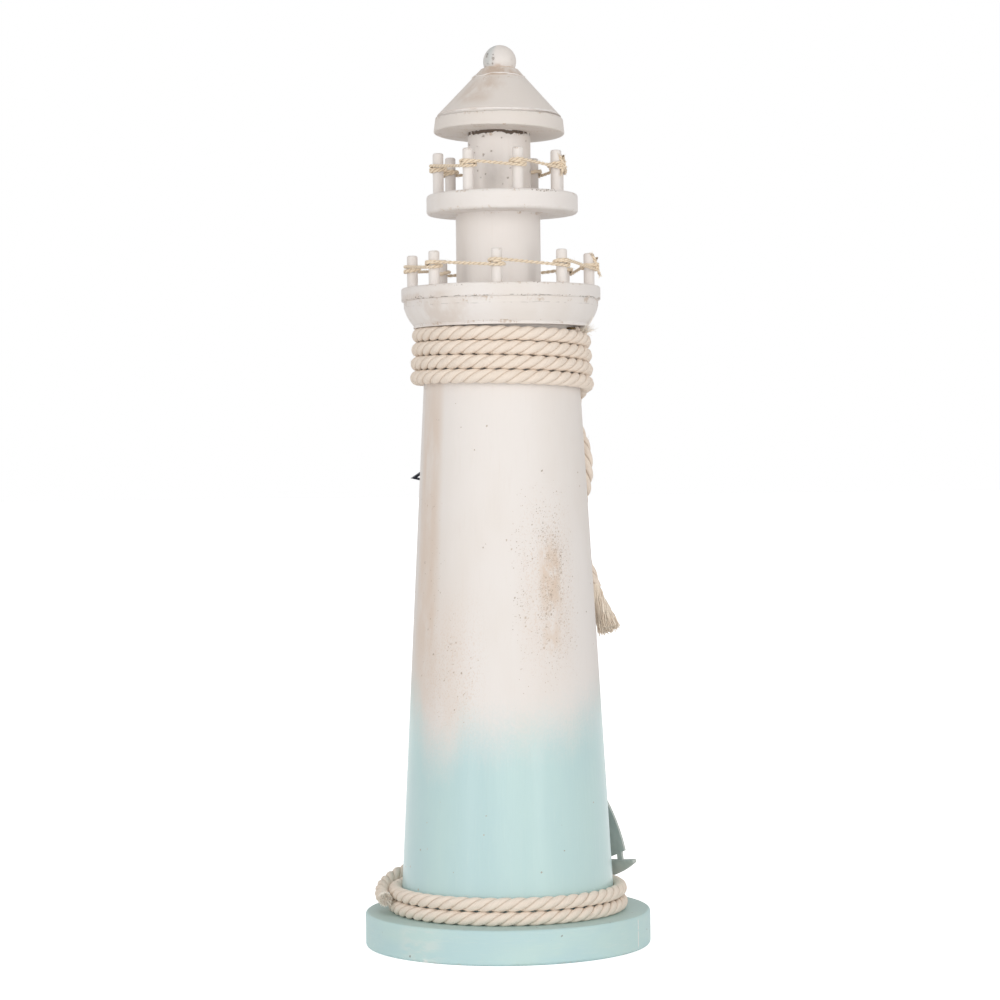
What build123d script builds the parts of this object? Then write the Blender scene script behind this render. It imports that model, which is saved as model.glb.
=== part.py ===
from build123d import *
import math
import os

# A painted wooden lighthouse ornament on a round base, in millimetres, with +Z up and the origin
# at the middle of the base's underside. Angles are degrees, counter-clockwise from +X seen from
# above. The plain side of the ornament faces -Y and the decorated side faces +Y.

# Base, tower and gallery
BASE_DIA = 158.6
BASE_H = 19.0
BASE_EDGE_R = 1.6
TOWER_FOOT_DIA = 119.0
TOWER_TOP_DIA = 83.6
TOWER_H = 323.5
CORNICE_FOOT_DIA = 97.6
CORNICE_FOOT_H = 1.6
CORNICE_FLARE_H = 10.1
CORNICE_FLARE_SAG = 0.7
CORNICE_BAND_DIA = 108.2
CORNICE_BAND_H = 3.0
GALLERY_DECK_DIA = 110.8
GALLERY_DECK_H = 7.6
GALLERY_DECK_EDGE_R = 1.0

# Watch room, lantern, roof and ball
WATCH_ROOM_DIA = 47.0
WATCH_ROOM_OFF = 1.1  # glued on by hand, to the left
WATCH_ROOM_H = 40.7
LANTERN_DECK_DIA = 84.2
LANTERN_DECK_H = 10.9
LANTERN_DECK_EDGE_R = 1.8
LANTERN_DECK_OFF = 1.3  # glued on by hand, to the right
LANTERN_DIA = 34.8
LANTERN_H = 34.0
ROOF_LEAN = 2.0  # the hand-made roof leans back, towards +Y, on the lantern's slanted top
ROOF_SIDE_LEAN = 1.2  # and a little to the right, towards +X
ROOF_RIM_DIA = 73.0
ROOF_RIM_TOP_DIA = 71.0
ROOF_RIM_H = 8.2
ROOF_RIM_EDGE_R = 0.9
ROOF_GROOVE_W = 1.4
ROOF_GROOVE_D = 0.8
ROOF_CONE_FOOT_DIA = 69.0
ROOF_CONE_TOP_DIA = 20.8
ROOF_CONE_H = 26.2
FINIAL_DIA = 18.4
FINIAL_FLAT_DIA = 16.0

# Railings: dowel posts in drilled holes, and a twine that is wound once round each post
POST_DIA = 6.0
POST_TIP_R = 1.2
POST_SINK = 5.0
GALLERY_POST_RISE = 18.6
GALLERY_POST_CIRCLE_DIA = 98.4
GALLERY_POSTS = 8
GALLERY_FIRST_POST = -2.5
LANTERN_POST_RISE = 23.2
LANTERN_POST_CIRCLE_DIA = 68.4
LANTERN_POST_ANGLES = [-24.0, 16.0, 56.0, 100.0, 144.0, 186.0, 240.0, 287.0]  # drilled by eye
TWINE_DIA = 1.9
TWINE_GAP = 0.15
TWINE_CLIMB = 2.92
GALLERY_TWINE_RISE = 9.5
LANTERN_TWINE_RISE = 13.2

# Dowels and the base screw
GALLERY_DOWEL_DIA = 12.0
LANTERN_DOWEL_DIA = 10.0
ROOF_DOWEL_DIA = 8.0
FINIAL_PIN_DIA = 4.0
GALLERY_DOWEL_SINK = 18.0
LANTERN_DOWEL_SINK = 14.0
ROOF_DOWEL_SINK = 12.0
FINIAL_PIN_SINK = 8.0
SCREW_DIA = 5.0
SCREW_HEAD_DIA = 9.6
SCREW_HEAD_SINK = 1.0
SCREW_LENGTH = 55.0
SCREW_SLOT_W = 1.2
SCREW_SLOT_LENGTH = 5.6
SCREW_SLOT_DEPTH = 1.6
GLUE_GAP = 0.1
DOWEL_END_GAP = 0.8

# Rope: the winding under the cornice, its hanging tail and the winding round the foot
ROPE_DIA = 7.1
ROPE_SEAT_GAP = 0.2
WINDING_GAP = 0.48
WINDING_START = 60.0
WINDING_TURN_FALL = [0.0, 0.05, 0.28, 0.60]  # share of the pitch at each quarter of a turn
WINDING_QUARTERS = 15
WINDING_LAST_ANGLE = 34.0
TAIL_FIRST_RUN = 7.6
TAIL_ROUTE = [  # angle round the tower, drop below the cornice, and distance from the tower's surface
    (29.4, 36.4, 2.5),
    (35.3, 43.0, 2.0),
    (35.2, 51.7, 1.6),
    (29.4, 59.3, 1.4),
    (23.0, 67.0, 1.2),
    (20.4, 76.5, 1.0),
    (22.6, 86.0, 0.8),
    (28.6, 95.0, 0.7),
    (34.8, 105.0, 0.8),
    (36.0, 118.0, 0.9),
    (31.0, 130.5, 1.0),
    (24.0, 140.5, 1.1),
    (21.5, 146.0, 1.2),
]
TASSEL_LENGTH = 27.0
TASSEL_NECK_DIA = 8.0
TASSEL_TIP_WIDTH = 20.0
TASSEL_TIP_DEPTH = 12.0
FOOT_ROPE_START = 115.0
FOOT_ROPE_CLIMB = 80.0  # degrees, as are the next four: the climb ends a lead before the start below it
FOOT_ROPE_CLIMB_LEAD = 5.0
FOOT_ROPE_CROSS = 66.0
FOOT_ROPE_CROSS_AFTER_CLIMB = 8.0
FOOT_ROPE_LAST_FALL = 22.0
FOOT_ROPE_LAST_DROP = 0.3  # share of the pitch
STAPLE_WIRE_DIA = 1.0
STAPLE_WIDTH = 5.0
STAPLE_STAND_OFF = 2.6
STAPLE_LEG_SINK = 7.0
STAPLE_ANGLE = -27.0
STAPLE_DROP = 1.6

# Sailing boat leaning on the tower, with its hull against the foot rope
BOAT_ANGLE = 46.0
BOAT_LEAN = 10.0
BOAT_KEEL_Z = 28.8
BOAT_SEAT_GAP = 0.3
HULL_LENGTH = 72.6
HULL_WIDTH = 3.2
HULL_H = 11.7
HULL_SHEER = 2.2
HULL_END_H = 1.7
HULL_CORNER_R = 0.9
HULL_EDGE = 0.4
SAIL_THICKNESS = 1.4
SAIL_SLOT_DEPTH = 3.0
MAST_WIDTH = 3.6
MAST_TOP = 72.0
JIB_REACH = 29.7
JIB_TACK = 18.4
JIB_CLEW = 16.2
JIB_FOOT = 13.0
JIB_BELLY = 6.0
JIB_POST_REACH = 25.4
JIB_POST_TOP = 18.0
MAINSAIL_REACH = 28.0
MAINSAIL_FOOT = 14.2
MAINSAIL_BELLY = 4.0

# Flat anchor, nailed through its eye
ANCHOR_ANGLE = 125.0
ANCHOR_SEAT_GAP = 0.2
ANCHOR_THICKNESS = 1.6
ANCHOR_BARB_DROP = 83.2
ANCHOR_HALF_WIDTH = 30.0
ANCHOR_ARM_RISE = 22.0
ANCHOR_ARM_WIDTH = 4.6
ANCHOR_SHANK_WIDTH = 4.6
ANCHOR_SHANK_LENGTH = 56.0
ANCHOR_STOCK_LENGTH = 32.0
ANCHOR_STOCK_WIDTH = 4.0
ANCHOR_STOCK_DROP = 11.0
ANCHOR_EYE_DIA = 10.0
ANCHOR_ARM_REACH = 18.5
ANCHOR_FLUKE_LENGTH = 12.5
ANCHOR_FLUKE_RISE = 7.2
ANCHOR_FLUKE_INNER_LENGTH = 16.0
ANCHOR_FLUKE_DROP = 3.2
ANCHOR_FLUKE_RIM = 1.3
NAIL_DIA = 2.4
NAIL_HEAD_DIA = 5.2
NAIL_HEAD_H = 1.4
NAIL_SINK = 14.0
NAIL_GAP = 0.1

# Heights of the stack
TOWER_Z = BASE_H
CORNICE_Z = TOWER_Z + TOWER_H
GALLERY_DECK_Z = CORNICE_Z + CORNICE_FOOT_H + CORNICE_FLARE_H + CORNICE_BAND_H
WATCH_ROOM_Z = GALLERY_DECK_Z + GALLERY_DECK_H
LANTERN_DECK_Z = WATCH_ROOM_Z + WATCH_ROOM_H
LANTERN_Z = LANTERN_DECK_Z + LANTERN_DECK_H
ROOF_Z = LANTERN_Z + LANTERN_H
ROOF_H = ROOF_RIM_H + ROOF_GROOVE_W + ROOF_CONE_H
ROOF_SEAT = Location((0, 0, ROOF_Z), (-ROOF_LEAN, ROOF_SIDE_LEAN, 0))
FINIAL_CENTRE = ROOF_H + math.sqrt((FINIAL_DIA / 2) ** 2 - (FINIAL_FLAT_DIA / 2) ** 2)
TOWER_SLOPE = (TOWER_FOOT_DIA - TOWER_TOP_DIA) / 2 / TOWER_H
ROPE_PITCH = ROPE_DIA + WINDING_GAP


def tower_radius(z):
    return TOWER_FOOT_DIA / 2 - TOWER_SLOPE * (z - TOWER_Z)


def round_tower(angle, radius, z):
    """The point at an angle and radius round the tower's axis."""
    turn = math.radians(angle)
    return Vector(radius * math.cos(turn), radius * math.sin(turn), z)


def turned(points, radii=None):
    """A solid of revolution from its half outline of (radius, height) points."""
    if radii is None:
        outline = Polyline(*points, close=True)
    else:
        outline = FilletPolyline(*points, radius=radii, close=True)
    return revolve(Plane.XZ * make_face(outline), Axis.Z)


def rod(diameter, bottom, top, at=(0, 0)):
    upright = (Align.CENTER, Align.CENTER, Align.MIN)
    return Pos(at[0], at[1], bottom) * Cylinder(diameter / 2, top - bottom, align=upright)


def dowel_hole(diameter, bottom, top):
    """The hole for a dowel: wider by the glue gap and deeper by the gap at each end."""
    return rod(diameter + 2 * GLUE_GAP, bottom - DOWEL_END_GAP, top + DOWEL_END_GAP)


def gallery_dowel_span():
    return CORNICE_Z - GALLERY_DOWEL_SINK, WATCH_ROOM_Z + GALLERY_DOWEL_SINK


def lantern_dowel_span():
    return LANTERN_DECK_Z - LANTERN_DOWEL_SINK, LANTERN_Z + LANTERN_DOWEL_SINK


def roof_dowel_span():
    """Heights above the roof's seat, which the dowel is square to."""
    return -ROOF_DOWEL_SINK, ROOF_DOWEL_SINK


def finial_pin_span():
    """Heights above the roof's seat."""
    return ROOF_H - FINIAL_PIN_SINK, ROOF_H + FINIAL_PIN_SINK


def screw_head_height():
    """A countersunk head has a right angle at its point."""
    return (SCREW_HEAD_DIA - SCREW_DIA) / 2


def screw_outline(gap):
    """Half outline of the base screw, from its head at the bottom, wider all round by a gap."""
    head = SCREW_HEAD_DIA / 2 + gap
    shank = SCREW_DIA / 2 + gap
    neck = SCREW_HEAD_SINK + screw_head_height()
    tip = SCREW_HEAD_SINK + SCREW_LENGTH + gap
    bottom = 0 if gap else SCREW_HEAD_SINK
    return [(0, bottom), (head, bottom), (head, SCREW_HEAD_SINK), (shank, neck), (shank, tip), (0, tip)]


def screw_hole():
    return turned(screw_outline(GLUE_GAP))


def base_screw():
    points = [p for i, p in enumerate(screw_outline(0)) if i != 1]
    body = turned(points)
    slot = Box(SCREW_SLOT_LENGTH, SCREW_SLOT_W, 2 * SCREW_SLOT_DEPTH)
    cross = slot + Rot(0, 0, 90) * slot
    return body - Pos(0, 0, SCREW_HEAD_SINK) * cross


def base_plinth():
    radius = BASE_DIA / 2
    points = [(0, 0), (radius, 0), (radius, BASE_H), (0, BASE_H)]
    return turned(points, [0, BASE_EDGE_R, BASE_EDGE_R, 0]) - screw_hole()


def tower_body():
    foot = TOWER_FOOT_DIA / 2
    top = TOWER_TOP_DIA / 2
    body = turned([(0, TOWER_Z), (foot, TOWER_Z), (top, CORNICE_Z), (0, CORNICE_Z)])
    body -= screw_hole()
    body -= dowel_hole(GALLERY_DOWEL_DIA, *gallery_dowel_span())
    body -= staple_wire(GLUE_GAP)
    return body - nail_shank(NAIL_GAP)


def gallery_cornice():
    foot = CORNICE_FOOT_DIA / 2
    band = CORNICE_BAND_DIA / 2
    flare_z = CORNICE_Z + CORNICE_FOOT_H
    band_z = flare_z + CORNICE_FLARE_H
    flare = SagittaArc((foot, flare_z), (band, band_z), -CORNICE_FLARE_SAG)
    rest = Polyline((band, band_z), (band, GALLERY_DECK_Z), (0, GALLERY_DECK_Z), (0, CORNICE_Z),
                    (foot, CORNICE_Z), (foot, flare_z))
    body = revolve(Plane.XZ * make_face(Wire([flare, *rest.edges()])), Axis.Z)
    return body - dowel_hole(GALLERY_DOWEL_DIA, *gallery_dowel_span())


def deck(diameter, bottom, height, edge_radius, dowel, posts, off=0):
    """A round deck, glued on off the axis, with holes for its dowel and for each post."""
    radius = diameter / 2
    top = bottom + height
    body = turned([(0, bottom), (radius, bottom), (radius, top), (0, top)], [0, edge_radius, edge_radius, 0])
    body = Pos(off, 0, 0) * body - dowel
    for at in posts:
        body -= rod(POST_DIA + 2 * GLUE_GAP, top - POST_SINK - GLUE_GAP, top + POST_SINK, at)
    return body


def post(top_of_deck, rise, at):
    dowel = rod(POST_DIA, top_of_deck - POST_SINK, top_of_deck + rise, at)
    return fillet(dowel.edges().sort_by(Axis.Z)[-1], POST_TIP_R)


def post_places(angles, circle_dia):
    places = [round_tower(angle, circle_dia / 2, 0) for angle in angles]
    return [(place.X, place.Y) for place in places]


def watch_room():
    body = rod(WATCH_ROOM_DIA, WATCH_ROOM_Z, LANTERN_DECK_Z, (-WATCH_ROOM_OFF, 0))
    body -= dowel_hole(GALLERY_DOWEL_DIA, *gallery_dowel_span())
    return body - dowel_hole(LANTERN_DOWEL_DIA, *lantern_dowel_span())


def lantern_room():
    """A drum whose top is cut at the roof's lean, with the roof's dowel square to the cut."""
    body = rod(LANTERN_DIA, LANTERN_Z, ROOF_Z + LANTERN_DIA)
    above = (Align.CENTER, Align.CENTER, Align.MIN)
    body -= ROOF_SEAT * Box(2 * LANTERN_DIA, 2 * LANTERN_DIA, 2 * LANTERN_DIA, align=above)
    body -= dowel_hole(LANTERN_DOWEL_DIA, *lantern_dowel_span())
    return body - ROOF_SEAT * dowel_hole(ROOF_DOWEL_DIA, *roof_dowel_span())


def roof_cap():
    """Thick rim, a turned groove, and a cone that is cut off under the ball."""
    rim = ROOF_RIM_DIA / 2
    rim_top = ROOF_RIM_TOP_DIA / 2
    cone_foot = ROOF_CONE_FOOT_DIA / 2
    groove_z = ROOF_RIM_H + ROOF_GROOVE_W / 2
    cone_z = ROOF_RIM_H + ROOF_GROOVE_W
    points = [(0, 0), (rim, 0), (rim_top, ROOF_RIM_H), (cone_foot - ROOF_GROOVE_D, groove_z),
              (cone_foot, cone_z), (ROOF_CONE_TOP_DIA / 2, ROOF_H), (0, ROOF_H)]
    body = turned(points, [0, ROOF_RIM_EDGE_R, ROOF_RIM_EDGE_R, 0, 0, 0, 0])
    body -= dowel_hole(ROOF_DOWEL_DIA, *roof_dowel_span())
    return ROOF_SEAT * (body - dowel_hole(FINIAL_PIN_DIA, *finial_pin_span()))


def finial_ball():
    ball = Pos(0, 0, FINIAL_CENTRE) * Sphere(FINIAL_DIA / 2)
    below = (Align.CENTER, Align.CENTER, Align.MAX)
    ball -= Pos(0, 0, ROOF_H) * Box(FINIAL_DIA, FINIAL_DIA, FINIAL_DIA, align=below)
    return ROOF_SEAT * (ball - dowel_hole(FINIAL_PIN_DIA, *finial_pin_span()))


def biarc(start, heading, end, end_heading):
    """Two arcs that join two points smoothly, each with its given heading."""
    across = end - start
    both = heading + end_heading
    a = 2 * (1 - heading.dot(end_heading))
    b = 2 * across.dot(both)
    c = across.dot(across)
    reach = (math.sqrt(b * b + 4 * a * c) - b) / (2 * a)
    first = start + heading * reach
    last = end - end_heading * reach
    middle = (first + last) / 2
    turn = (last - first).normalized()
    return [Edge.make_tangent_arc(start, heading, middle), Edge.make_tangent_arc(middle, turn, end)]


def tube(edges, diameter):
    path = Wire(edges)
    section = Plane(origin=path @ 0, z_dir=path % 0) * Circle(diameter / 2)
    return sweep(section, path=path)


def report_tube(name, shape, edges, diameter, bend_apart):
    """Prints a wound tube's volume against its path, and its least gap to itself along the path."""
    length = sum(edge.length for edge in edges)
    points = []
    for edge in edges:
        count = max(2, round(edge.length / diameter * 3))
        points += [edge @ (i / count) for i in range(count)]
    step = length / len(points)
    skip = math.ceil(bend_apart / step)
    least = min(
        (points[i] - points[j]).length for i in range(len(points)) for j in range(i + skip, len(points))
    )
    share = shape.volume / (length * math.pi * diameter ** 2 / 4)
    print(f"{name}: length {length:.1f}, volume share {share:.4f}, least gap {least - diameter:.2f}")


def wound(nodes, diameter):
    """A path of biarcs through (point, heading) nodes, with a straight end of one diameter at both ends."""
    first, first_heading = nodes[0]
    last, last_heading = nodes[-1]
    edges = [Edge.make_line(first - first_heading * diameter, first)]
    for (start, heading), (end, end_heading) in zip(nodes, nodes[1:]):
        edges += biarc(start, heading, end, end_heading)
    edges.append(Edge.make_line(last, last + last_heading * diameter))
    return edges


def node_on(curve, angle):
    """The point of a curve, given as a function of an angle, and its heading there."""
    step = 0.01
    return curve(angle), (curve(angle + step) - curve(angle - step)).normalized()


def winding_fall(turns):
    """How many pitches the tower winding has fallen, through smooth quarter turns."""
    quarters = len(WINDING_TURN_FALL)
    at = turns * quarters
    i = math.floor(at)
    t = at - i

    def key(n):
        return n // quarters + WINDING_TURN_FALL[n % quarters]

    slope = (key(i + 1) - key(i - 1)) / 2
    next_slope = (key(i + 2) - key(i)) / 2
    blend = 3 * t ** 2 - 2 * t ** 3
    fall = key(i) * (1 - blend) + key(i + 1) * blend
    return fall + slope * (t ** 3 - 2 * t ** 2 + t) + next_slope * (t ** 3 - t ** 2)


def tower_winding_at(angle):
    fall = winding_fall((angle - WINDING_START) / 360)
    z = CORNICE_Z - ROPE_SEAT_GAP - ROPE_DIA / 2 - ROPE_PITCH * fall
    return round_tower(angle, tower_radius(z) + ROPE_DIA / 2 + ROPE_SEAT_GAP, z)


def tower_winding_edges():
    angles = [WINDING_START + 90 * i for i in range(WINDING_QUARTERS + 1)]
    angles.append(angles[-1] + WINDING_LAST_ANGLE)
    return wound([node_on(tower_winding_at, angle) for angle in angles], ROPE_DIA)


def smooth(share):
    share = min(1, max(0, share))
    return 3 * share ** 2 - 2 * share ** 3


def foot_rope_stages():
    """Angles where the first and second climbs end, the crossing and the last fall begin, and the rope ends."""
    first_top = FOOT_ROPE_START + 360 - FOOT_ROPE_CLIMB_LEAD
    cross = first_top + 360 + FOOT_ROPE_CROSS_AFTER_CLIMB
    fall = cross + FOOT_ROPE_CROSS * 0.78
    return first_top, first_top + 360, cross, fall, fall + FOOT_ROPE_LAST_FALL


def foot_rope_at(angle):
    """Two level turns, a climb over them, and an end that crosses down outside them."""
    first_top, second_top, cross, fall, end = foot_rope_stages()
    first_climb = smooth((angle - first_top) / FOOT_ROPE_CLIMB + 1)
    second_climb = smooth((angle - second_top) / FOOT_ROPE_CLIMB + 1)
    over = smooth((angle - cross) / FOOT_ROPE_CROSS)
    down = smooth((angle - fall) / (end - fall))
    z = BASE_H + ROPE_SEAT_GAP + ROPE_DIA / 2 + ROPE_PITCH * (first_climb - FOOT_ROPE_LAST_DROP * down)
    radius = tower_radius(z) + ROPE_DIA / 2 + ROPE_SEAT_GAP
    radius += ROPE_PITCH * second_climb * math.sin(over * math.pi / 2)
    z += ROPE_PITCH * second_climb * math.cos(over * math.pi / 2)
    return round_tower(angle, radius, z)


def foot_rope_edges():
    first_top, second_top, cross, fall, end = foot_rope_stages()
    angles = []
    for start, top in ((FOOT_ROPE_START, first_top), (first_top, second_top)):
        level = top - FOOT_ROPE_CLIMB - start
        angles += [start + level * i / 3 for i in range(4)]
    angles += [second_top, cross + FOOT_ROPE_CROSS * 0.33, cross + FOOT_ROPE_CROSS * 0.7, end]
    return wound([node_on(foot_rope_at, angle) for angle in angles], ROPE_DIA)


def tail_points(winding_end):
    """The hanging tail's route: straight out of the winding, then down to the tassel."""
    start = winding_end @ 1
    route = [start, start + (winding_end % 1) * TAIL_FIRST_RUN]
    for angle, drop, stand_off in TAIL_ROUTE:
        z = CORNICE_Z - drop
        route.append(round_tower(angle, tower_radius(z) + ROPE_DIA / 2 + stand_off, z))
    return route


def hanging_rope_tail(points):
    radii = []
    for before, at, after in zip(points, points[1:], points[2:]):
        half_turn = math.radians((at - before).get_angle(after - at)) / 2
        shorter = min((at - before).length, (after - at).length)
        radii.append(0.45 * shorter / math.tan(half_turn))
    print("hanging_rope_tail radii", [round(radius, 1) for radius in radii])
    path = FilletPolyline(*points, radius=radii)
    shape = tube(path.edges(), ROPE_DIA)
    share = shape.volume / (path.length * math.pi * ROPE_DIA ** 2 / 4)
    print(f"hanging_rope_tail: length {path.length:.1f}, volume share {share:.4f}")
    return shape


def rope_tassel(points):
    """The frayed end: strands that spread from the rope, wider along the tower than out from it."""
    end = points[-1]
    heading = (end - points[-2]).normalized()
    out = Vector(end.X, end.Y, 0).normalized()
    along = heading.cross(out).normalized()
    spread = TASSEL_TIP_DEPTH / 2 - ROPE_DIA / 2
    sections = []
    for share, width, depth in (
        (0, ROPE_DIA, ROPE_DIA),
        (0.3, TASSEL_NECK_DIA, TASSEL_NECK_DIA),
        (1, TASSEL_TIP_WIDTH, TASSEL_TIP_DEPTH),
    ):
        middle = end + heading * (share * TASSEL_LENGTH) + out * (spread * share)
        plane = Plane(origin=middle, x_dir=along, z_dir=heading)
        sections.append(plane * Ellipse(width / 2 + 0.001, depth / 2))
    return loft(sections)


def staple_wire(gap):
    """A round wire staple across the rope's upper end, with its legs driven into the tower."""
    z = CORNICE_Z - STAPLE_DROP
    surface = tower_radius(z)
    out = Vector(1, 0, 0).rotate(Axis.Z, STAPLE_ANGLE)
    along = Vector(0, 1, 0).rotate(Axis.Z, STAPLE_ANGLE)
    middle = Vector(0, 0, z)
    crown = surface + STAPLE_STAND_OFF
    tip = surface - STAPLE_LEG_SINK - gap
    half = STAPLE_WIDTH / 2
    corners = [(tip, -half), (crown, -half), (crown, half), (tip, half)]
    path = FilletPolyline(*[middle + out * r + along * s for r, s in corners], radius=STAPLE_WIRE_DIA)
    return tube(path.edges(), STAPLE_WIRE_DIA + 2 * gap)


def rail_nodes(places, height):
    """Nodes of a rail twine: one turn round each post, entered and left along outer tangents."""
    around = POST_DIA / 2 + TWINE_DIA / 2 + TWINE_GAP
    climb = TWINE_CLIMB
    posts = [Vector(x, y, 0) for x, y in places]
    up = Vector(0, 0, 1)
    runs = []
    for i, here in enumerate(posts):
        there = posts[(i + 1) % len(posts)]
        side = (there - here).normalized().cross(up)
        rise = 2 * climb if i == 0 else climb
        start = here + side * around + up * (height + rise)
        end = there + side * around + up * height
        runs.append((start, end, side))
    spans = []
    for i, (start, end, side) in enumerate(runs):
        slope = (end.Z - start.Z) / math.hypot(end.X - start.X, end.Y - start.Y)
        after_start, after_end, after_side = runs[(i + 1) % len(runs)]
        last = i == len(runs) - 1
        after_slope = 0
        if not last:
            after_run = math.hypot(after_end.X - after_start.X, after_end.Y - after_start.Y)
            after_slope = (after_end.Z - after_start.Z) / after_run
        turn = 2 * math.pi + math.radians(side.get_signed_angle(after_side, up))
        spans.append((posts[(i + 1) % len(posts)], side, turn, slope, after_slope))
    return runs, [wrap_nodes(*span, around, height, climb) for span in spans]


def wrap_nodes(centre, side, turn, slope, after_slope, around, height, climb):
    """Nodes of one turn round a post, whose slope meets the run before it and the run after it."""
    length = around * turn
    count = math.ceil(turn / (math.pi / 2))
    nodes = []
    for i in range(count + 1):
        t = i / count
        blend = 3 * t ** 2 - 2 * t ** 3
        blend_slope = 6 * t - 6 * t ** 2
        z = height + climb * blend
        z += length * (slope * (t ** 3 - 2 * t ** 2 + t) + after_slope * (t ** 3 - t ** 2))
        steep = climb / length * blend_slope
        steep += slope * (3 * t ** 2 - 4 * t + 1) + after_slope * (3 * t ** 2 - 2 * t)
        arm = side.rotate(Axis.Z, math.degrees(turn * t))
        heading = Vector(-arm.Y, arm.X, steep).normalized()
        nodes.append((centre + arm * around + Vector(0, 0, z), heading))
    return nodes


def rail_twine(name, places, height):
    runs, wraps = rail_nodes(places, height)
    start, end, _ = runs[0]
    heading = (end - start).normalized()
    edges = [Edge.make_line(start - heading * TWINE_DIA, end)]
    for i, nodes in enumerate(wraps):
        for (here, way), (there, there_way) in zip(nodes, nodes[1:]):
            edges += biarc(here, way, there, there_way)
        last, last_way = nodes[-1]
        if i + 1 < len(wraps):
            edges.append(Edge.make_line(last, runs[i + 1][1]))
        else:
            edges.append(Edge.make_line(last, last + last_way * TWINE_DIA))
    shape = tube(edges, TWINE_DIA)
    report_tube(name, shape, edges, TWINE_DIA, POST_DIA + 2 * TWINE_DIA)
    return shape


def boat_place():
    """Middle of the leaning boat's keel. The mast's top touches the tower, and the hull the foot rope."""
    lean = math.radians(BOAT_LEAN)
    mast_top = BOAT_KEEL_Z + MAST_TOP * math.cos(lean)
    back = MAST_TOP * math.sin(lean) + SAIL_THICKNESS / 2 * math.cos(lean)
    radius = tower_radius(mast_top) + back + BOAT_SEAT_GAP
    return Pos(*round_tower(BOAT_ANGLE, radius, BOAT_KEEL_Z)) * Rot(0, 0, BOAT_ANGLE) * Rot(0, -BOAT_LEAN, 0)


def boat_deck_height(reach):
    """Height of the hull's deck above the keel, by the distance from its middle."""
    return HULL_H + HULL_SHEER * (2 * reach / HULL_LENGTH) ** 2


def boat_posts():
    """Feet of the mast and of the post under the jib: distance towards the bow, and height in the hull."""
    return [(reach, boat_deck_height(reach) - SAIL_SLOT_DEPTH) for reach in (0, JIB_POST_REACH)]


def boat_hull():
    """A flat hull whose deck and keel curve up to narrow ends, slotted for two posts. Bow towards -Y."""
    half = HULL_LENGTH / 2
    high = HULL_H + HULL_SHEER
    low = high - HULL_END_H
    keel = ThreePointArc((half, low), (0, 0), (-half, low))
    stern = Line((-half, low), (-half, high))
    deck_line = ThreePointArc((-half, high), (0, HULL_H), (half, high))
    bow = Line((half, high), (half, low))
    outline = fillet(make_face(Wire([keel, stern, deck_line, bow])).vertices(), HULL_CORNER_R)
    board = extrude(Plane.YZ * outline, HULL_WIDTH / 2, both=True)
    sides = board.faces().filter_by(Axis.X)
    board = chamfer(sides.edges(), HULL_EDGE)
    depth = 2 * SAIL_SLOT_DEPTH
    for reach, foot in boat_posts():
        slot = Box(SAIL_THICKNESS + 2 * GLUE_GAP, MAST_WIDTH + 2 * GLUE_GAP, depth)
        board -= Pos(0, -reach, foot - GLUE_GAP + depth / 2) * slot
    return boat_place() * board


def boat_sail():
    """Mast, two sails and the post under the jib, cut from one sheet. The jib is on the bow side."""
    half = MAST_WIDTH / 2
    tip = (0, MAST_TOP)
    jib = [SagittaArc((-JIB_REACH, JIB_TACK), tip, JIB_BELLY),
           Polyline(tip, (0, JIB_FOOT), (-JIB_CLEW, JIB_FOOT), (-JIB_REACH, JIB_TACK))]
    main = [SagittaArc(tip, (MAINSAIL_REACH, MAINSAIL_FOOT), MAINSAIL_BELLY),
            Polyline((MAINSAIL_REACH, MAINSAIL_FOOT), (0, MAINSAIL_FOOT), tip)]
    sheet = None
    for arc, straight in (jib, main):
        sail = make_face(Wire([arc, *straight.edges()]))
        sheet = sail if sheet is None else sheet + sail
    for (reach, foot), top in zip(boat_posts(), (MAST_TOP, JIB_POST_TOP)):
        post = Polyline((-reach - half, foot), (-reach + half, foot), (-reach + half, top), (-reach - half, top), close=True)
        sheet += make_face(post)
    return boat_place() * extrude(Plane.YZ * sheet, SAIL_THICKNESS / 2, both=True)


def anchor_place():
    """Middle of the anchor's back at its barbs, square to the sloping side of the tower."""
    lean = math.degrees(math.atan(TOWER_SLOPE))
    z = CORNICE_Z - ANCHOR_BARB_DROP
    place = Pos(*round_tower(ANCHOR_ANGLE, tower_radius(z) + ANCHOR_SEAT_GAP, z))
    return place * Rot(0, 0, ANCHOR_ANGLE) * Rot(0, -lean, 0)


def anchor_eye_height():
    """Height of the eye's middle above the barbs."""
    return ANCHOR_SHANK_LENGTH - ANCHOR_ARM_RISE - ANCHOR_EYE_DIA / 2


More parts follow.
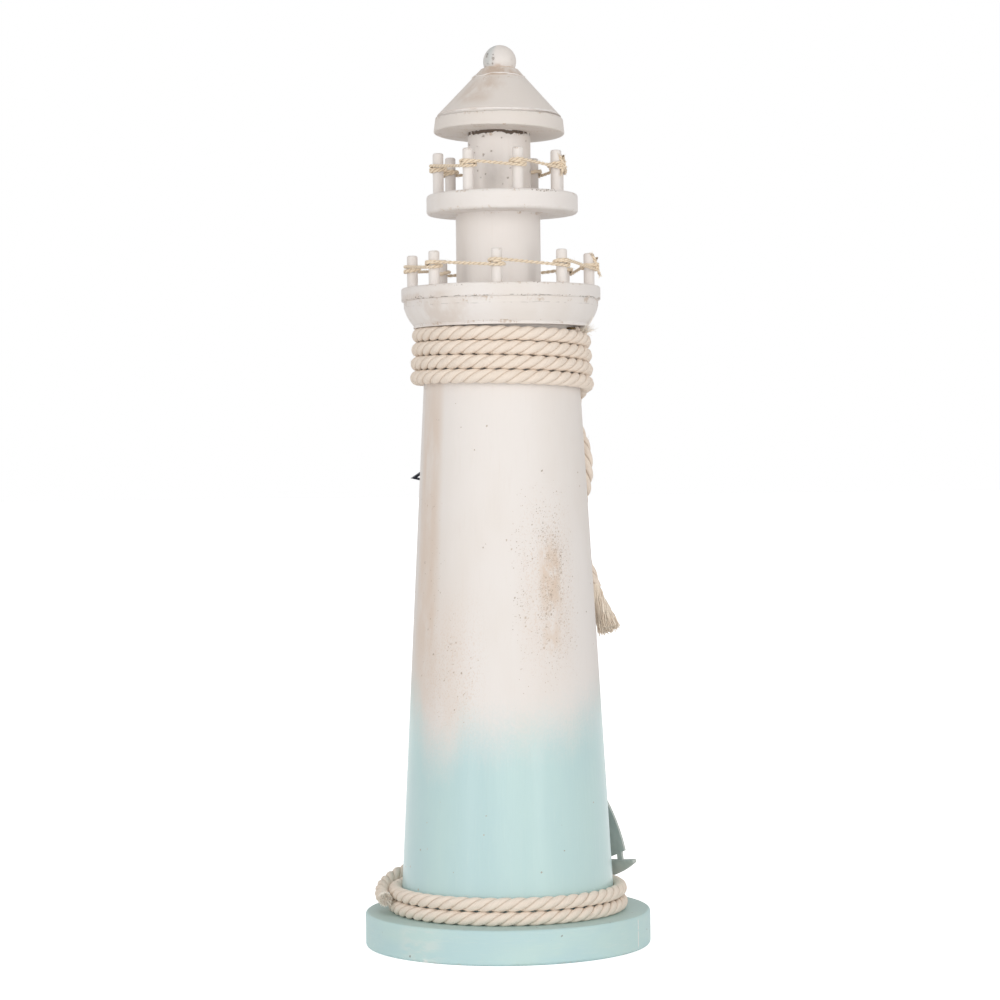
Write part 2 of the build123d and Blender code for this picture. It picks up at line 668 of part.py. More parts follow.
def anchor():
    """Shank with an eye, a stock, and two curved arms that end in open, barbed flukes."""
    crown = -ANCHOR_ARM_RISE
    reach = ANCHOR_ARM_REACH
    arm_end = -ANCHOR_FLUKE_DROP / 2
    eye = anchor_eye_height()
    outer = ThreePointArc((-reach, arm_end), (0, crown), (reach, arm_end))
    inner = ThreePointArc((reach - ANCHOR_ARM_WIDTH / 2, arm_end), (0, crown + ANCHOR_ARM_WIDTH),
                          (-reach + ANCHOR_ARM_WIDTH / 2, arm_end))
    ends = [Line(outer @ 1, inner @ 0), Line(inner @ 1, outer @ 0)]
    face = make_face(Wire([outer, ends[0], inner, ends[1]]))
    face += Pos(0, (crown + eye) / 2 + ANCHOR_ARM_WIDTH / 4) * Rectangle(
        ANCHOR_SHANK_WIDTH, eye - crown - ANCHOR_ARM_WIDTH / 2)
    face += Pos(0, eye) * Circle(ANCHOR_EYE_DIA / 2)
    face += Pos(0, eye - ANCHOR_STOCK_DROP) * SlotOverall(ANCHOR_STOCK_LENGTH, ANCHOR_STOCK_WIDTH)
    for side in (-1, 1):
        barb = (side * ANCHOR_HALF_WIDTH, 0)
        tip = (side * (ANCHOR_HALF_WIDTH - ANCHOR_FLUKE_LENGTH), ANCHOR_FLUKE_RISE)
        inner_barb = (side * (ANCHOR_HALF_WIDTH - ANCHOR_FLUKE_INNER_LENGTH), -ANCHOR_FLUKE_DROP)
        fluke = make_face(Polyline(barb, tip, inner_barb, close=True))
        face += fluke
        face -= offset(fluke, -ANCHOR_FLUKE_RIM)
    face -= Pos(0, eye) * Circle(NAIL_DIA / 2 + NAIL_GAP)
    return anchor_place() * extrude(Plane.YZ * face, ANCHOR_THICKNESS)


def nail_at_eye():
    """Plane on the anchor's front at its eye, with its normal pointing out from the tower."""
    return anchor_place() * Pos(ANCHOR_THICKNESS, 0, anchor_eye_height()) * Rot(0, 90, 0)


def nail_shank(gap):
    length = ANCHOR_THICKNESS + NAIL_SINK
    return nail_at_eye() * rod(NAIL_DIA + 2 * gap, -length - gap, 0)


def anchor_nail():
    head = turned([(0, 0), (NAIL_HEAD_DIA / 2, 0), (NAIL_HEAD_DIA / 4, NAIL_HEAD_H), (0, NAIL_HEAD_H)])
    return nail_shank(0) + nail_at_eye() * head


def rope_pieces():
    winding = tower_winding_edges()
    winding_tube = tube(winding, ROPE_DIA)
    report_tube("tower_rope_winding", winding_tube, winding, ROPE_DIA, TOWER_TOP_DIA)
    foot = foot_rope_edges()
    foot_tube = tube(foot, ROPE_DIA)
    report_tube("base_rope_winding", foot_tube, foot, ROPE_DIA, TOWER_FOOT_DIA)
    tail = tail_points(winding[-1])
    return {
        "tower_rope_winding": winding_tube,
        "base_rope_winding": foot_tube,
        "hanging_rope_tail": hanging_rope_tail(tail),
        "rope_tassel": rope_tassel(tail),
        "rope_staple": staple_wire(0),
    }


def railing(name, angles, circle_dia, deck_top, rise, twine_rise):
    places = post_places(angles, circle_dia)
    pieces = {f"{name}_post_{i + 1}": post(deck_top, rise, at) for i, at in enumerate(places)}
    twine = f"{name}_rail_twine"
    pieces[twine] = rail_twine(twine, places, deck_top + twine_rise)
    return pieces


def main():
    gallery_angles = [GALLERY_FIRST_POST + 360 / GALLERY_POSTS * i for i in range(GALLERY_POSTS)]
    pieces = {
        "base_plinth": base_plinth(),
        "base_screw": base_screw(),
        "tower_body": tower_body(),
        "gallery_dowel": rod(GALLERY_DOWEL_DIA, *gallery_dowel_span()),
        "gallery_cornice": gallery_cornice(),
        "gallery_deck": deck(
            GALLERY_DECK_DIA, GALLERY_DECK_Z, GALLERY_DECK_H, GALLERY_DECK_EDGE_R,
            dowel_hole(GALLERY_DOWEL_DIA, *gallery_dowel_span()),
            post_places(gallery_angles, GALLERY_POST_CIRCLE_DIA)),
        "watch_room": watch_room(),
        "lantern_dowel": rod(LANTERN_DOWEL_DIA, *lantern_dowel_span()),
        "lantern_deck": deck(
            LANTERN_DECK_DIA, LANTERN_DECK_Z, LANTERN_DECK_H, LANTERN_DECK_EDGE_R,
            dowel_hole(LANTERN_DOWEL_DIA, *lantern_dowel_span()),
            post_places(LANTERN_POST_ANGLES, LANTERN_POST_CIRCLE_DIA), LANTERN_DECK_OFF),
        "lantern_room": lantern_room(),
        "roof_dowel": ROOF_SEAT * rod(ROOF_DOWEL_DIA, *roof_dowel_span()),
        "roof_cap": roof_cap(),
        "finial_pin": ROOF_SEAT * rod(FINIAL_PIN_DIA, *finial_pin_span()),
        "finial_ball": finial_ball(),
        "boat_hull": boat_hull(),
        "boat_sail": boat_sail(),
        "anchor": anchor(),
        "anchor_nail": anchor_nail(),
    }
    pieces |= railing("gallery", gallery_angles, GALLERY_POST_CIRCLE_DIA, WATCH_ROOM_Z,
                      GALLERY_POST_RISE, GALLERY_TWINE_RISE)
    pieces |= railing("lantern", LANTERN_POST_ANGLES, LANTERN_POST_CIRCLE_DIA, LANTERN_Z,
                      LANTERN_POST_RISE, LANTERN_TWINE_RISE)
    pieces |= rope_pieces()
    os.makedirs("parts", exist_ok=True)
    for name, shape in pieces.items():
        export_step(shape, f"parts/{name}.step")


main()
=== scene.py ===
import bpy
import math
import random
from mathutils import Matrix, Vector, noise


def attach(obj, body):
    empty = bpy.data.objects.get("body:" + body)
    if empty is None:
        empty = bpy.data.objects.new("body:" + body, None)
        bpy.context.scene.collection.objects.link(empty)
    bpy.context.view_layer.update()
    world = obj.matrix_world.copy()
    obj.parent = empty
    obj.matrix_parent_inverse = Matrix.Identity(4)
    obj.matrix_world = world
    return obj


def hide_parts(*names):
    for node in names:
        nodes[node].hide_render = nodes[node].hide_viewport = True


# The lighthouse ornament, dressed. Shapes are in millimetres, as in the part's source, and become metres
# in at(). Materials are in metres, apart from bands and patches, which take millimetres. Angles are in
# degrees, counter-clockwise from +X, and the photographed side faces -Y, which is 270.

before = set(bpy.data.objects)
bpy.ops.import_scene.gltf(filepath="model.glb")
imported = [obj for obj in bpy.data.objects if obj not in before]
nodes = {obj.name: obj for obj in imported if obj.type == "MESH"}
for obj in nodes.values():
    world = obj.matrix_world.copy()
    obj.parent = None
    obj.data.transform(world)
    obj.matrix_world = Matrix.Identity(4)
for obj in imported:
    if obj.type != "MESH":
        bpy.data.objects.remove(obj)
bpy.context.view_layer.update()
dice = random.Random(7)

MM = 0.001
TAU = 2 * math.pi
UP = Vector((0, 0, 1))
GOLDEN_TURN = 2.39996

BASE_H = 19.0
TOWER_H = 323.5
TOWER_FOOT_R = 59.5
TOWER_NARROWS = 17.7
TOWER_SLOPE = TOWER_NARROWS / TOWER_H
CORNICE_Z = BASE_H + TOWER_H
GALLERY_Z = 364.8
GALLERY_JOINT_Z = GALLERY_Z - 7.2
LANTERN_DECK_Z = 405.5
LANTERN_Z = 416.4
ROOF_Z = 450.4
ROOF_H = 35.8
ROOF_RIM_Z = ROOF_Z + 8.2
ROOF_TIP_Z = ROOF_Z + ROOF_H
POST_R = 3.0
ROPE_DIA = 7.1
ROPE_GAP = 0.2
ROPE_PITCH = 7.58
ROPE_LAY = 23.5
TWINE_DIA = 1.9


def tower_radius(z):
    return TOWER_FOOT_R - TOWER_SLOPE * (z - BASE_H)


def around(angle, radius, z):
    turn = math.radians(angle)
    return Vector((radius * math.cos(turn), radius * math.sin(turn), z))


def at(point):
    return Vector(point) * MM


def smooth(share):
    share = min(1, max(0, share))
    return 3 * share ** 2 - 2 * share ** 3


def end_slopes(share, first, last):
    """What a smooth step gains from a slope at its start and one at its end."""
    return first * (share ** 3 - 2 * share ** 2 + share) + last * (share ** 3 - share ** 2)


# Material helpers

def material(name, **values):
    """A new material, its node tree and its shader, whose plain values are set by socket name."""
    made = bpy.data.materials.new(name)
    made.use_nodes = True
    shader = made.node_tree.nodes["Principled BSDF"]
    for key, value in values.items():
        shader.inputs[key.replace("_", " ")].default_value = value
    return made, made.node_tree, shader


def put(tree, kind, sockets=(), **settings):
    """Adds a node. Settings are its own. Sockets are pairs of an input and a value or a node's output."""
    node = tree.nodes.new("ShaderNode" + kind)
    for key, value in settings.items():
        setattr(node, key, value)
    for key, value in sockets:
        if isinstance(value, bpy.types.NodeSocket):
            tree.links.new(value, node.inputs[key])
        else:
            node.inputs[key].default_value = value
    return node


def maths(tree, operation, *values):
    return put(tree, "Math", enumerate(values), operation=operation).outputs[0]


def times(tree, first, second):
    return maths(tree, "MULTIPLY", first, second)


def plus(tree, first, second):
    return maths(tree, "ADD", first, second)


def minus(tree, first, second):
    return maths(tree, "SUBTRACT", first, second)


def inverse(tree, mask):
    return minus(tree, 1.0, mask)


def centred(tree, pattern, width):
    """A pattern from 0 to 1, moved to both sides of zero and scaled to a width."""
    return times(tree, minus(tree, pattern, 0.5), width)


def largest(tree, values):
    best = values[0]
    for value in values[1:]:
        best = maths(tree, "MAXIMUM", best, value)
    return best


def span(tree, value, low, high, to_low=0.0, to_high=1.0):
    """Value from low to high, mapped smoothly and held at the ends."""
    sockets = [("Value", value), ("From Min", low), ("From Max", high)]
    sockets += [("To Min", to_low), ("To Max", to_high)]
    return put(tree, "MapRange", sockets, interpolation_type="SMOOTHSTEP").outputs[0]


def blend(tree, share, first, second):
    sockets = [(0, share), (6, first), (7, second)]
    return put(tree, "Mix", sockets, data_type="RGBA").outputs[2]


def shade(tree, colour, tone, pattern, low, high, most=1.0):
    """A colour that turns into a tone as a pattern goes from low to high, up to a share of most."""
    return blend(tree, span(tree, pattern, low, high, 0.0, most), colour, tone)


def tint(tree, colour, tone, mask, strength):
    """A colour with a share of a tone where the mask is 1."""
    return blend(tree, times(tree, mask, strength), colour, tone)


def coordinates(tree, stretch=(1, 1, 1)):
    place = put(tree, "TexCoord").outputs["Object"]
    return put(tree, "Mapping", [(0, place), (3, stretch)]).outputs[0]


def grain(tree, size, stretch=(1, 1, 1), detail=3.0, rough=0.55):
    """Noise whose lumps are about size metres. A stretch below 1 makes them longer that way."""
    where = coordinates(tree, stretch)
    sockets = [(0, where), ("Scale", 1 / size), ("Detail", detail), ("Roughness", rough)]
    return put(tree, "TexNoise", sockets).outputs[0]


def bump(tree, shader, *layers):
    """Layers of (height, distance in metres, strength), each on top of the last."""
    normal = None
    for height, distance, strength in layers:
        sockets = [("Height", height), ("Distance", distance), ("Strength", strength)]
        if normal:
            sockets.append(("Normal", normal))
        normal = put(tree, "Bump", sockets).outputs[0]
    tree.links.new(normal, shader.inputs["Normal"])


def feed(tree, shader, **outputs):
    for key, value in outputs.items():
        tree.links.new(value, shader.inputs[key.replace("_", " ")])


def place_parts(tree):
    """Object coordinates x, y and z in metres, and the distance from the axis."""
    split = put(tree, "SeparateXYZ", [(0, put(tree, "TexCoord").outputs["Object"])])
    x, y, z = split.outputs
    far = maths(tree, "SQRT", plus(tree, times(tree, x, x), times(tree, y, y)))
    return x, y, z, far


def band(tree, z, height, half, fade):
    """1 within half of a height, 0 beyond half and fade."""
    off = maths(tree, "ABSOLUTE", minus(tree, z, height * MM))
    return span(tree, off, (half + fade) * MM, half * MM)


def patch(tree, parts, angle, half_angle, low, high, fade, flat=0.1):
    """A soft-edged patch round an angle, between two heights, level over a flat share of its width."""
    x, y, z, far = parts
    turn = math.radians(angle)
    towards = plus(tree, times(tree, x, math.cos(turn)), times(tree, y, math.sin(turn)))
    ahead = maths(tree, "DIVIDE", towards, far)
    edge = math.cos(math.radians(half_angle))
    level = math.cos(math.radians(half_angle * flat))
    sideways = span(tree, ahead, edge, level)
    upper = span(tree, z, high * MM, (high - fade) * MM)
    lower = span(tree, z, low * MM, (low + fade) * MM)
    return times(tree, sideways, times(tree, upper, lower))


def patches(tree, parts, places):
    return largest(tree, [patch(tree, parts, *place) for place in places])


def weighted_patches(tree, parts, places, flat=0.1):
    """Patches whose last value is a strength, as one mask."""
    masks = []
    for *place, strength in places:
        masks.append(times(tree, patch(tree, parts, *place, flat), strength))
    return largest(tree, masks)


def speckle(tree, mask, size, stretch, keep):
    """Small worn spots, rare where the mask is 0 and dense where it is 1."""
    fine = grain(tree, size, stretch, 5.0, rough=0.7)
    broad = grain(tree, size * 7, stretch, 2.0)
    both = plus(tree, times(tree, fine, 0.62), times(tree, broad, 0.38))
    raised = plus(tree, both, times(tree, mask, 0.22))
    return span(tree, raised, keep, keep + 0.07)


def dots(tree, mask, size):
    """Irregular specks, at most one to a cell of size metres. The mask is the share of cells with one."""
    shake = centred(tree, grain(tree, size * 0.6, detail=2.0), size)
    where = put(tree, "VectorMath", [(0, coordinates(tree)), (1, shake)], operation="ADD").outputs[0]
    cells = put(tree, "TexVoronoi", [("Vector", where), ("Scale", 1 / size)])
    chance, big, _ = put(tree, "SeparateColor", [(0, cells.outputs["Color"])]).outputs
    radius = maths(tree, "MULTIPLY_ADD", big, 0.28, 0.16)
    speck = span(tree, minus(tree, radius, cells.outputs["Distance"]), -0.06, 0.07)
    return times(tree, speck, maths(tree, "LESS_THAN", chance, mask))


# Paint

WHITE = (0.835, 0.792, 0.762, 1)
# The roof's white is darker than the other whites: painted shade on the upward-facing cone.
ROOF_SHADED_WHITE = (0.77, 0.715, 0.67, 1)
BALL_WHITE = (0.80, 0.755, 0.72, 1)
# A painted highlight: the bright band on the front of the roof's foot.
PAINTED_HIGHLIGHT_WHITE = (0.92, 0.89, 0.87, 1)
CREAM = (0.76, 0.69, 0.625, 1)
BEIGE = (0.71, 0.56, 0.445, 1)
TAN = (0.56, 0.42, 0.30, 1)
WARM = (0.56, 0.43, 0.335, 1)
# Painted shade: the grey of the patch behind the lantern's front posts.
GREY = (0.60, 0.565, 0.54, 1)
BLUE_GREY = (0.50, 0.555, 0.56, 1)
DARK = (0.085, 0.055, 0.035, 1)
CHIP_BROWN = (0.17, 0.115, 0.075, 1)
PIT_BROWN = (0.27, 0.21, 0.165, 1)
AQUA = (0.515, 0.70, 0.715, 1)


def crack_and_shade_lines(tree, z, cracks_and_shade_lines, jag):
    """Wandering dark lines of (height, half, fade, least, strength), shown where noise is above least:
    cracks, and also painted shade in grooves and at steps.
    """
    wander = centred(tree, grain(tree, 0.005, (1, 1, 0.3), 5.0), jag)
    shifted = plus(tree, z, wander)
    patchy = grain(tree, 0.004, (1, 1, 0.2), 4.0)
    lines = []
    for height, half, fade, least, strength in cracks_and_shade_lines:
        shown = span(tree, patchy, least, least + 0.1, 0.0, strength)
        lines.append(times(tree, band(tree, shifted, height, half, fade), shown))
    return largest(tree, lines)


def white_paint(name, worn=(), cracks_and_shade_lines=(), specks=(), stains_and_painted_light=(), pits=0.0, jag=0.0016, wear=0.765, base=WHITE,
                upright=True):
    """Brushed matt paint on turned wood, with brush marks that stand upright or run round.

    Worn holds bands of (height, half, fade). Specks and tinted patches are patches, specks with the share of
    cells that are chipped, tinted patches with a strength and a tone: stains, and also painted shade and
    painted highlights. The dark lines are cracks and joints, and also painted shade in grooves and at steps.
    Pits is the share of cells with a dent, and wear the level of noise from which the wood shows through.
    """
    made, tree, shader = material(name, Roughness=0.62, Specular_IOR_Level=0.32)
    parts = place_parts(tree)
    z = parts[2]
    lines = grain(tree, 0.0016, (1, 1, 0.05) if upright else (0.5, 0.5, 1.6), 4.0)
    cloud = grain(tree, 0.03, (1, 1, 0.6))
    colour = shade(tree, base, CREAM, cloud, 0.42, 0.72, 0.45)
    colour = shade(tree, colour, CREAM, lines, 0.52, 0.78, 0.22)
    masks = [band(tree, z, *sizes) for sizes in worn]
    masks.append(span(tree, grain(tree, 0.022, (1, 1, 0.8), 2.0), 0.60, 0.78, 0.0, 0.35))
    spots = speckle(tree, largest(tree, masks), 0.0011, (1, 1, 0.7), wear)
    colour = tint(tree, colour, TAN, spots, 0.6)
    # Tinted patches: stains, and also painted shade or a painted highlight where the tone is one.
    for *place, strength, tone in stains_and_painted_light:
        uneven = span(tree, grain(tree, 0.008, (1, 1, 0.7), 4.0), 0.30, 0.62)
        stained = times(tree, patch(tree, parts, *place), uneven)
        colour = tint(tree, colour, tone, stained, strength)
    heights = [(lines, 0.00022, 0.30), (grain(tree, 0.0035, (1, 1, 0.5), 5.0), 0.0004, 0.22)]
    # Dark lines: cracks and joints, and also painted shade in grooves and at steps.
    if cracks_and_shade_lines:
        split = crack_and_shade_lines(tree, z, cracks_and_shade_lines, jag)
        colour = blend(tree, split, colour, DARK)
        heights.append((inverse(tree, split), 0.0005, 0.7))
    if specks:
        chips = dots(tree, weighted_patches(tree, parts, specks, 0.6), 0.0011)
        colour = tint(tree, colour, CHIP_BROWN, chips, 0.8)
    if pits:
        dents = largest(tree, [dots(tree, pits * 0.5, 0.0028), dots(tree, pits, 0.0015)])
        colour = tint(tree, colour, PIT_BROWN, dents, 0.55)
        heights.append((inverse(tree, dents), 0.0006, 0.8))
    heights.append((inverse(tree, spots), 0.00025, 0.5))
    feed(tree, shader, Base_Color=colour)
    bump(tree, shader, *heights)
    return made


AQUA_START_Z = 163.0
AQUA_FULL_Z = 116.0
AQUA_FRONT_DROP = 20.0
AQUA_LEFT_DROP = 15.0
AQUA_LEFT_PLACE = (226, 20, 60, 220, 40)
TOWER_DUST = [(232, 32, 96, 215, 60), (300, 26, 130, 270, 60)]

# Patches of the tower as patch() takes them, then a strength, and for the beige ones a flat share
TOWER_BEIGE = [
    (209, 17, 120, 346, 64, 0.60, 0.35),
    (226, 26, 96, 215, 50, 0.30, 0.1),
    (299, 24, 120, 250, 60, 0.18, 0.1),
    (30, 20, 150, 300, 50, 0.35, 0.5),
    (82, 16, 60, 190, 50, 0.40, 0.5),
    (160, 18, 170, 320, 60, 0.40, 0.5),
]
TOWER_STAINS = [
    (301, 10, 176, 234, 22, 1.0),
    (300, 8, 160, 186, 10, 0.7),
    (75, 11, 150, 230, 40, 0.9),
    (150, 10, 200, 290, 40, 0.8),
    (20, 10, 110, 175, 30, 0.8),
]
TOWER_CHIPS = [
    (301, 13, 164, 244, 30, 1.0),
    (298, 26, 136, 264, 60, 0.34),
    (238, 20, 104, 205, 50, 0.05),
    (214, 13, 120, 310, 80, 0.04),
    (75, 16, 130, 260, 60, 0.60),
    (150, 15, 180, 310, 60, 0.50),
    (20, 16, 90, 190, 50, 0.45),
]


def aqua_share(tree, parts):
    """The share of aqua: a sprayed, ragged edge that is lower in front, behind and at the left."""
    _, y, z, far = parts
    ragged = centred(tree, grain(tree, 0.016, (1, 1, 0.6), 4.0), 0.015)
    sprayed = centred(tree, grain(tree, 0.0011, (1, 1, 0.7)), 0.016)
    facing = maths(tree, "ABSOLUTE", maths(tree, "DIVIDE", y, far))
    front = times(tree, facing, AQUA_FRONT_DROP * MM)
    left = times(tree, patch(tree, parts, *AQUA_LEFT_PLACE), AQUA_LEFT_DROP * MM)
    height = plus(tree, plus(tree, z, ragged), plus(tree, sprayed, front))
    return span(tree, plus(tree, height, left), AQUA_START_Z * MM, AQUA_FULL_Z * MM)


def tower_paint():
    """White that fades to aqua at the foot, with worn streaks along the wood's grain."""
    made, tree, shader = material("tower_paint", Specular_IOR_Level=0.36)
    parts = place_parts(tree)
    lines = grain(tree, 0.0013, (1, 1, 0.035), 4.0)
    coarse = grain(tree, 0.005, (1, 1, 0.06), 4.0)
    cloud = grain(tree, 0.05, (1, 1, 0.45))
    colour = shade(tree, WHITE, CREAM, cloud, 0.42, 0.72, 0.40)
    colour = shade(tree, colour, CREAM, lines, 0.54, 0.80, 0.20)
    uneven = span(tree, grain(tree, 0.012, (1, 1, 0.3), 5.0, rough=0.65), 0.30, 0.62, 0.40, 1.0)
    for *place, strength, flat in TOWER_BEIGE:
        soft = times(tree, patch(tree, parts, *place, flat), uneven)
        colour = tint(tree, colour, BEIGE, soft, strength)
    aqua = aqua_share(tree, parts)
    deep = shade(tree, AQUA, (0.55, 0.735, 0.725, 1), cloud, 0.35, 0.70)
    deep = shade(tree, deep, (0.60, 0.755, 0.74, 1), lines, 0.50, 0.80, 0.30)
    colour = blend(tree, aqua, colour, deep)
    patchy = span(tree, grain(tree, 0.004, (1, 1, 0.4), 6.0, rough=0.7), 0.36, 0.58)
    stained = times(tree, weighted_patches(tree, parts, TOWER_STAINS), patchy)
    colour = tint(tree, colour, (0.70, 0.53, 0.39, 1), stained, 0.62)
    scattered = span(tree, grain(tree, 0.010, (1, 1, 0.5)), 0.36, 0.62)
    chipped = times(tree, weighted_patches(tree, parts, TOWER_CHIPS), scattered)
    lone = plus(tree, times(tree, chipped, 0.35), 0.003)
    sizes = [(chipped, 0.00062), (chipped, 0.00085), (lone, 0.0014)]
    spots = largest(tree, [dots(tree, mask, size) for mask, size in sizes])
    bare = shade(tree, (0.34, 0.25, 0.18, 1), (0.58, 0.45, 0.35, 1), coarse, 0.35, 0.65)
    colour = tint(tree, colour, bare, spots, 0.70)
    spray = span(tree, grain(tree, 0.0008, (1, 1, 0.7), 2.0), 0.52, 0.66)
    dusted = times(tree, spray, patches(tree, parts, TOWER_DUST))
    colour = tint(tree, colour, BEIGE, dusted, 0.42)
    feed(tree, shader, Base_Color=colour, Roughness=span(tree, aqua, 0.0, 1.0, 0.64, 0.29))
    bump(tree, shader, (lines, 0.00020, 0.35), (coarse, 0.0004, 0.16),
         (grain(tree, 0.004, (1, 1, 0.4), 5.0), 0.0004, 0.16), (inverse(tree, spots), 0.00025, 0.5))
    return made


BASE_EDGE_Z = BASE_H - 0.4
BASE_RUBS = [(233, 13, -4, 20, 5), (60, 20, -4, 20, 5), (140, 16, -4, 20, 5)]
BASE_MARKS = [
    (333.4, 0.5, 1.5, 18, 1.5, 0.6),
    (235.6, 1.7, -3, 2.6, 1.4),
    (48, 0.4, 4, 18, 2),
    (171, 1.5, 7, 15, 1.5),
]


def aqua_paint():
    """The base: aqua with chipped edges, pale scratches and a duller top."""
    made, tree, shader = material("aqua_paint", Roughness=0.52, Specular_IOR_Level=0.35)
    parts = place_parts(tree)
    z = parts[2]
    cloud = grain(tree, 0.025, (0.6, 0.6, 1.4), 4.0)
    lines = grain(tree, 0.0022, (0.25, 0.25, 2.2), 4.0)
    colour = shade(tree, AQUA, (0.56, 0.735, 0.715, 1), cloud, 0.35, 0.70)
    colour = shade(tree, colour, (0.66, 0.77, 0.74, 1), lines, 0.50, 0.80, 0.35)
    colour = shade(tree, colour, (0.44, 0.565, 0.525, 1), z, BASE_EDGE_Z * MM, BASE_H * MM, 0.55)
    patchy = span(tree, grain(tree, 0.006, (0.5, 0.5, 1.5), 5.0), 0.42, 0.62)
    rubbed = times(tree, patchy, patches(tree, parts, BASE_RUBS))
    colour = tint(tree, colour, (0.70, 0.775, 0.745, 1), rubbed, 0.6)
    uneven = span(tree, grain(tree, 0.0012, (1, 1, 0.6), 4.0), 0.34, 0.50)
    marked = times(tree, patches(tree, parts, BASE_MARKS), uneven)
    colour = tint(tree, colour, (0.84, 0.845, 0.81, 1), marked, 0.75)
    lower_edge = band(tree, z, 0.2, 0.6, 1.3)
    upper_edge = times(tree, band(tree, z, BASE_EDGE_Z, 0.4, 1.0), 0.75)
    thin = span(tree, grain(tree, 0.02, detail=2.0), 0.62, 0.80, 0.0, 0.55)
    spots = speckle(tree, largest(tree, [lower_edge, upper_edge, thin]), 0.0016, (1, 1, 1), 0.785)
    colour = tint(tree, colour, (0.74, 0.68, 0.60, 1), spots, 0.8)
    colour = tint(tree, colour, (0.20, 0.19, 0.165, 1), dots(tree, 0.004, 0.0019), 0.7)
    feed(tree, shader, Base_Color=colour)
    bump(tree, shader, (lines, 0.0003, 0.25), (grain(tree, 0.004, detail=5.0), 0.0005, 0.22),
         (inverse(tree, spots), 0.0003, 0.6))
    return made


def boat_paint():
    """Grey-green with small spots worn to the wood."""
    made, tree, shader = material("boat_paint", Roughness=0.6, Specular_IOR_Level=0.3)
    mottle = grain(tree, 0.006, detail=4.0)
    colour = shade(tree, (0.505, 0.55, 0.52, 1), (0.575, 0.61, 0.575, 1), mottle, 0.35, 0.68)
    worn = span(tree, grain(tree, 0.0028, detail=5.0, rough=0.7), 0.63, 0.70)
    colour = tint(tree, colour, (0.72, 0.66, 0.57, 1), worn, 0.75)
    feed(tree, shader, Base_Color=colour)
    bump(tree, shader, (grain(tree, 0.0015, (1, 1, 0.4), 4.0), 0.0003, 0.3), (worn, 0.0002, 0.4))
    return made


# Fibre, metal and wood

def yarn(name, pale, mid, deep, turns, length, fuzz=0.25):
    """Twisted fibre, in the UV of a strand: metres along it, and once round it. The deep colour is painted
    shade at the strand's sides, in the creases between strands.
    """
    made, tree, shader = material(name, Roughness=0.92, Specular_IOR_Level=0.12, Sheen_Weight=fuzz,
                                  Sheen_Roughness=0.6, Sheen_Tint=(0.95, 0.88, 0.78, 1))
    split = put(tree, "SeparateXYZ", [(0, put(tree, "TexCoord").outputs["UV"])])
    along, across, _ = split.outputs
    twisted = plus(tree, across, maths(tree, "DIVIDE", along, length))
    sockets = [(0, times(tree, along, 60.0)), (1, times(tree, twisted, turns))]
    where = put(tree, "CombineXYZ", sockets).outputs[0]
    sockets = [(0, where), ("Scale", 1.0), ("Detail", 4.0), ("Roughness", 0.65)]
    fibre = put(tree, "TexNoise", sockets).outputs[0]
    colour = shade(tree, mid, pale, fibre, 0.32, 0.66)
    colour = shade(tree, colour, mid, grain(tree, 0.012), 0.45, 0.75, 0.35)
    # Painted shade: darker towards the deep colour at the strand's sides, where it meets its neighbours.
    off = maths(tree, "ABSOLUTE", minus(tree, across, 0.5))
    colour = shade(tree, colour, deep, off, 0.27, 0.43, 0.66)
    feed(tree, shader, Base_Color=colour)
    bump(tree, shader, (fibre, 0.00035, 0.55))
    return made


def plain_fibre(name, first, second):
    """Mottled matt fibre or filler, for pieces too thin to show a twist."""
    made, tree, shader = material(name, Roughness=0.9, Specular_IOR_Level=0.15, Sheen_Weight=0.2)
    mottle = grain(tree, 0.004, (1, 1, 0.5))
    feed(tree, shader, Base_Color=shade(tree, first, second, mottle, 0.35, 0.65))
    bump(tree, shader, (grain(tree, 0.0006, (1, 1, 0.3), 2.0), 0.0001, 0.4))
    return made


def metal(name, first, second, metallic, rough):
    made, tree, shader = material(name, Metallic=metallic)
    mottle = grain(tree, 0.002, detail=4.0)
    colour = shade(tree, first, second, mottle, 0.40, 0.68)
    feed(tree, shader, Base_Color=colour, Roughness=span(tree, mottle, 0.3, 0.7, rough, rough + 0.2))
    bump(tree, shader, (mottle, 0.0002, 0.25))
    return made


def bare_wood():
    made, tree, shader = material("bare_wood", Roughness=0.7, Specular_IOR_Level=0.3)
    lines = grain(tree, 0.0012, (1, 1, 0.05), 4.0)
    colour = shade(tree, (0.62, 0.45, 0.28, 1), (0.74, 0.60, 0.43, 1), lines, 0.35, 0.65)
    feed(tree, shader, Base_Color=colour)
    bump(tree, shader, (lines, 0.0002, 0.4))
    return made


# Mesh helpers

def add_object(name, data):
    made = bpy.data.objects.new(name, data)
    bpy.context.scene.collection.objects.link(made)
    return made


def tapered(thick, loss, power=1):
    """A radius that starts thick and has lost a share of itself at the end."""
    return lambda share: thick * (1 - loss * share ** power)


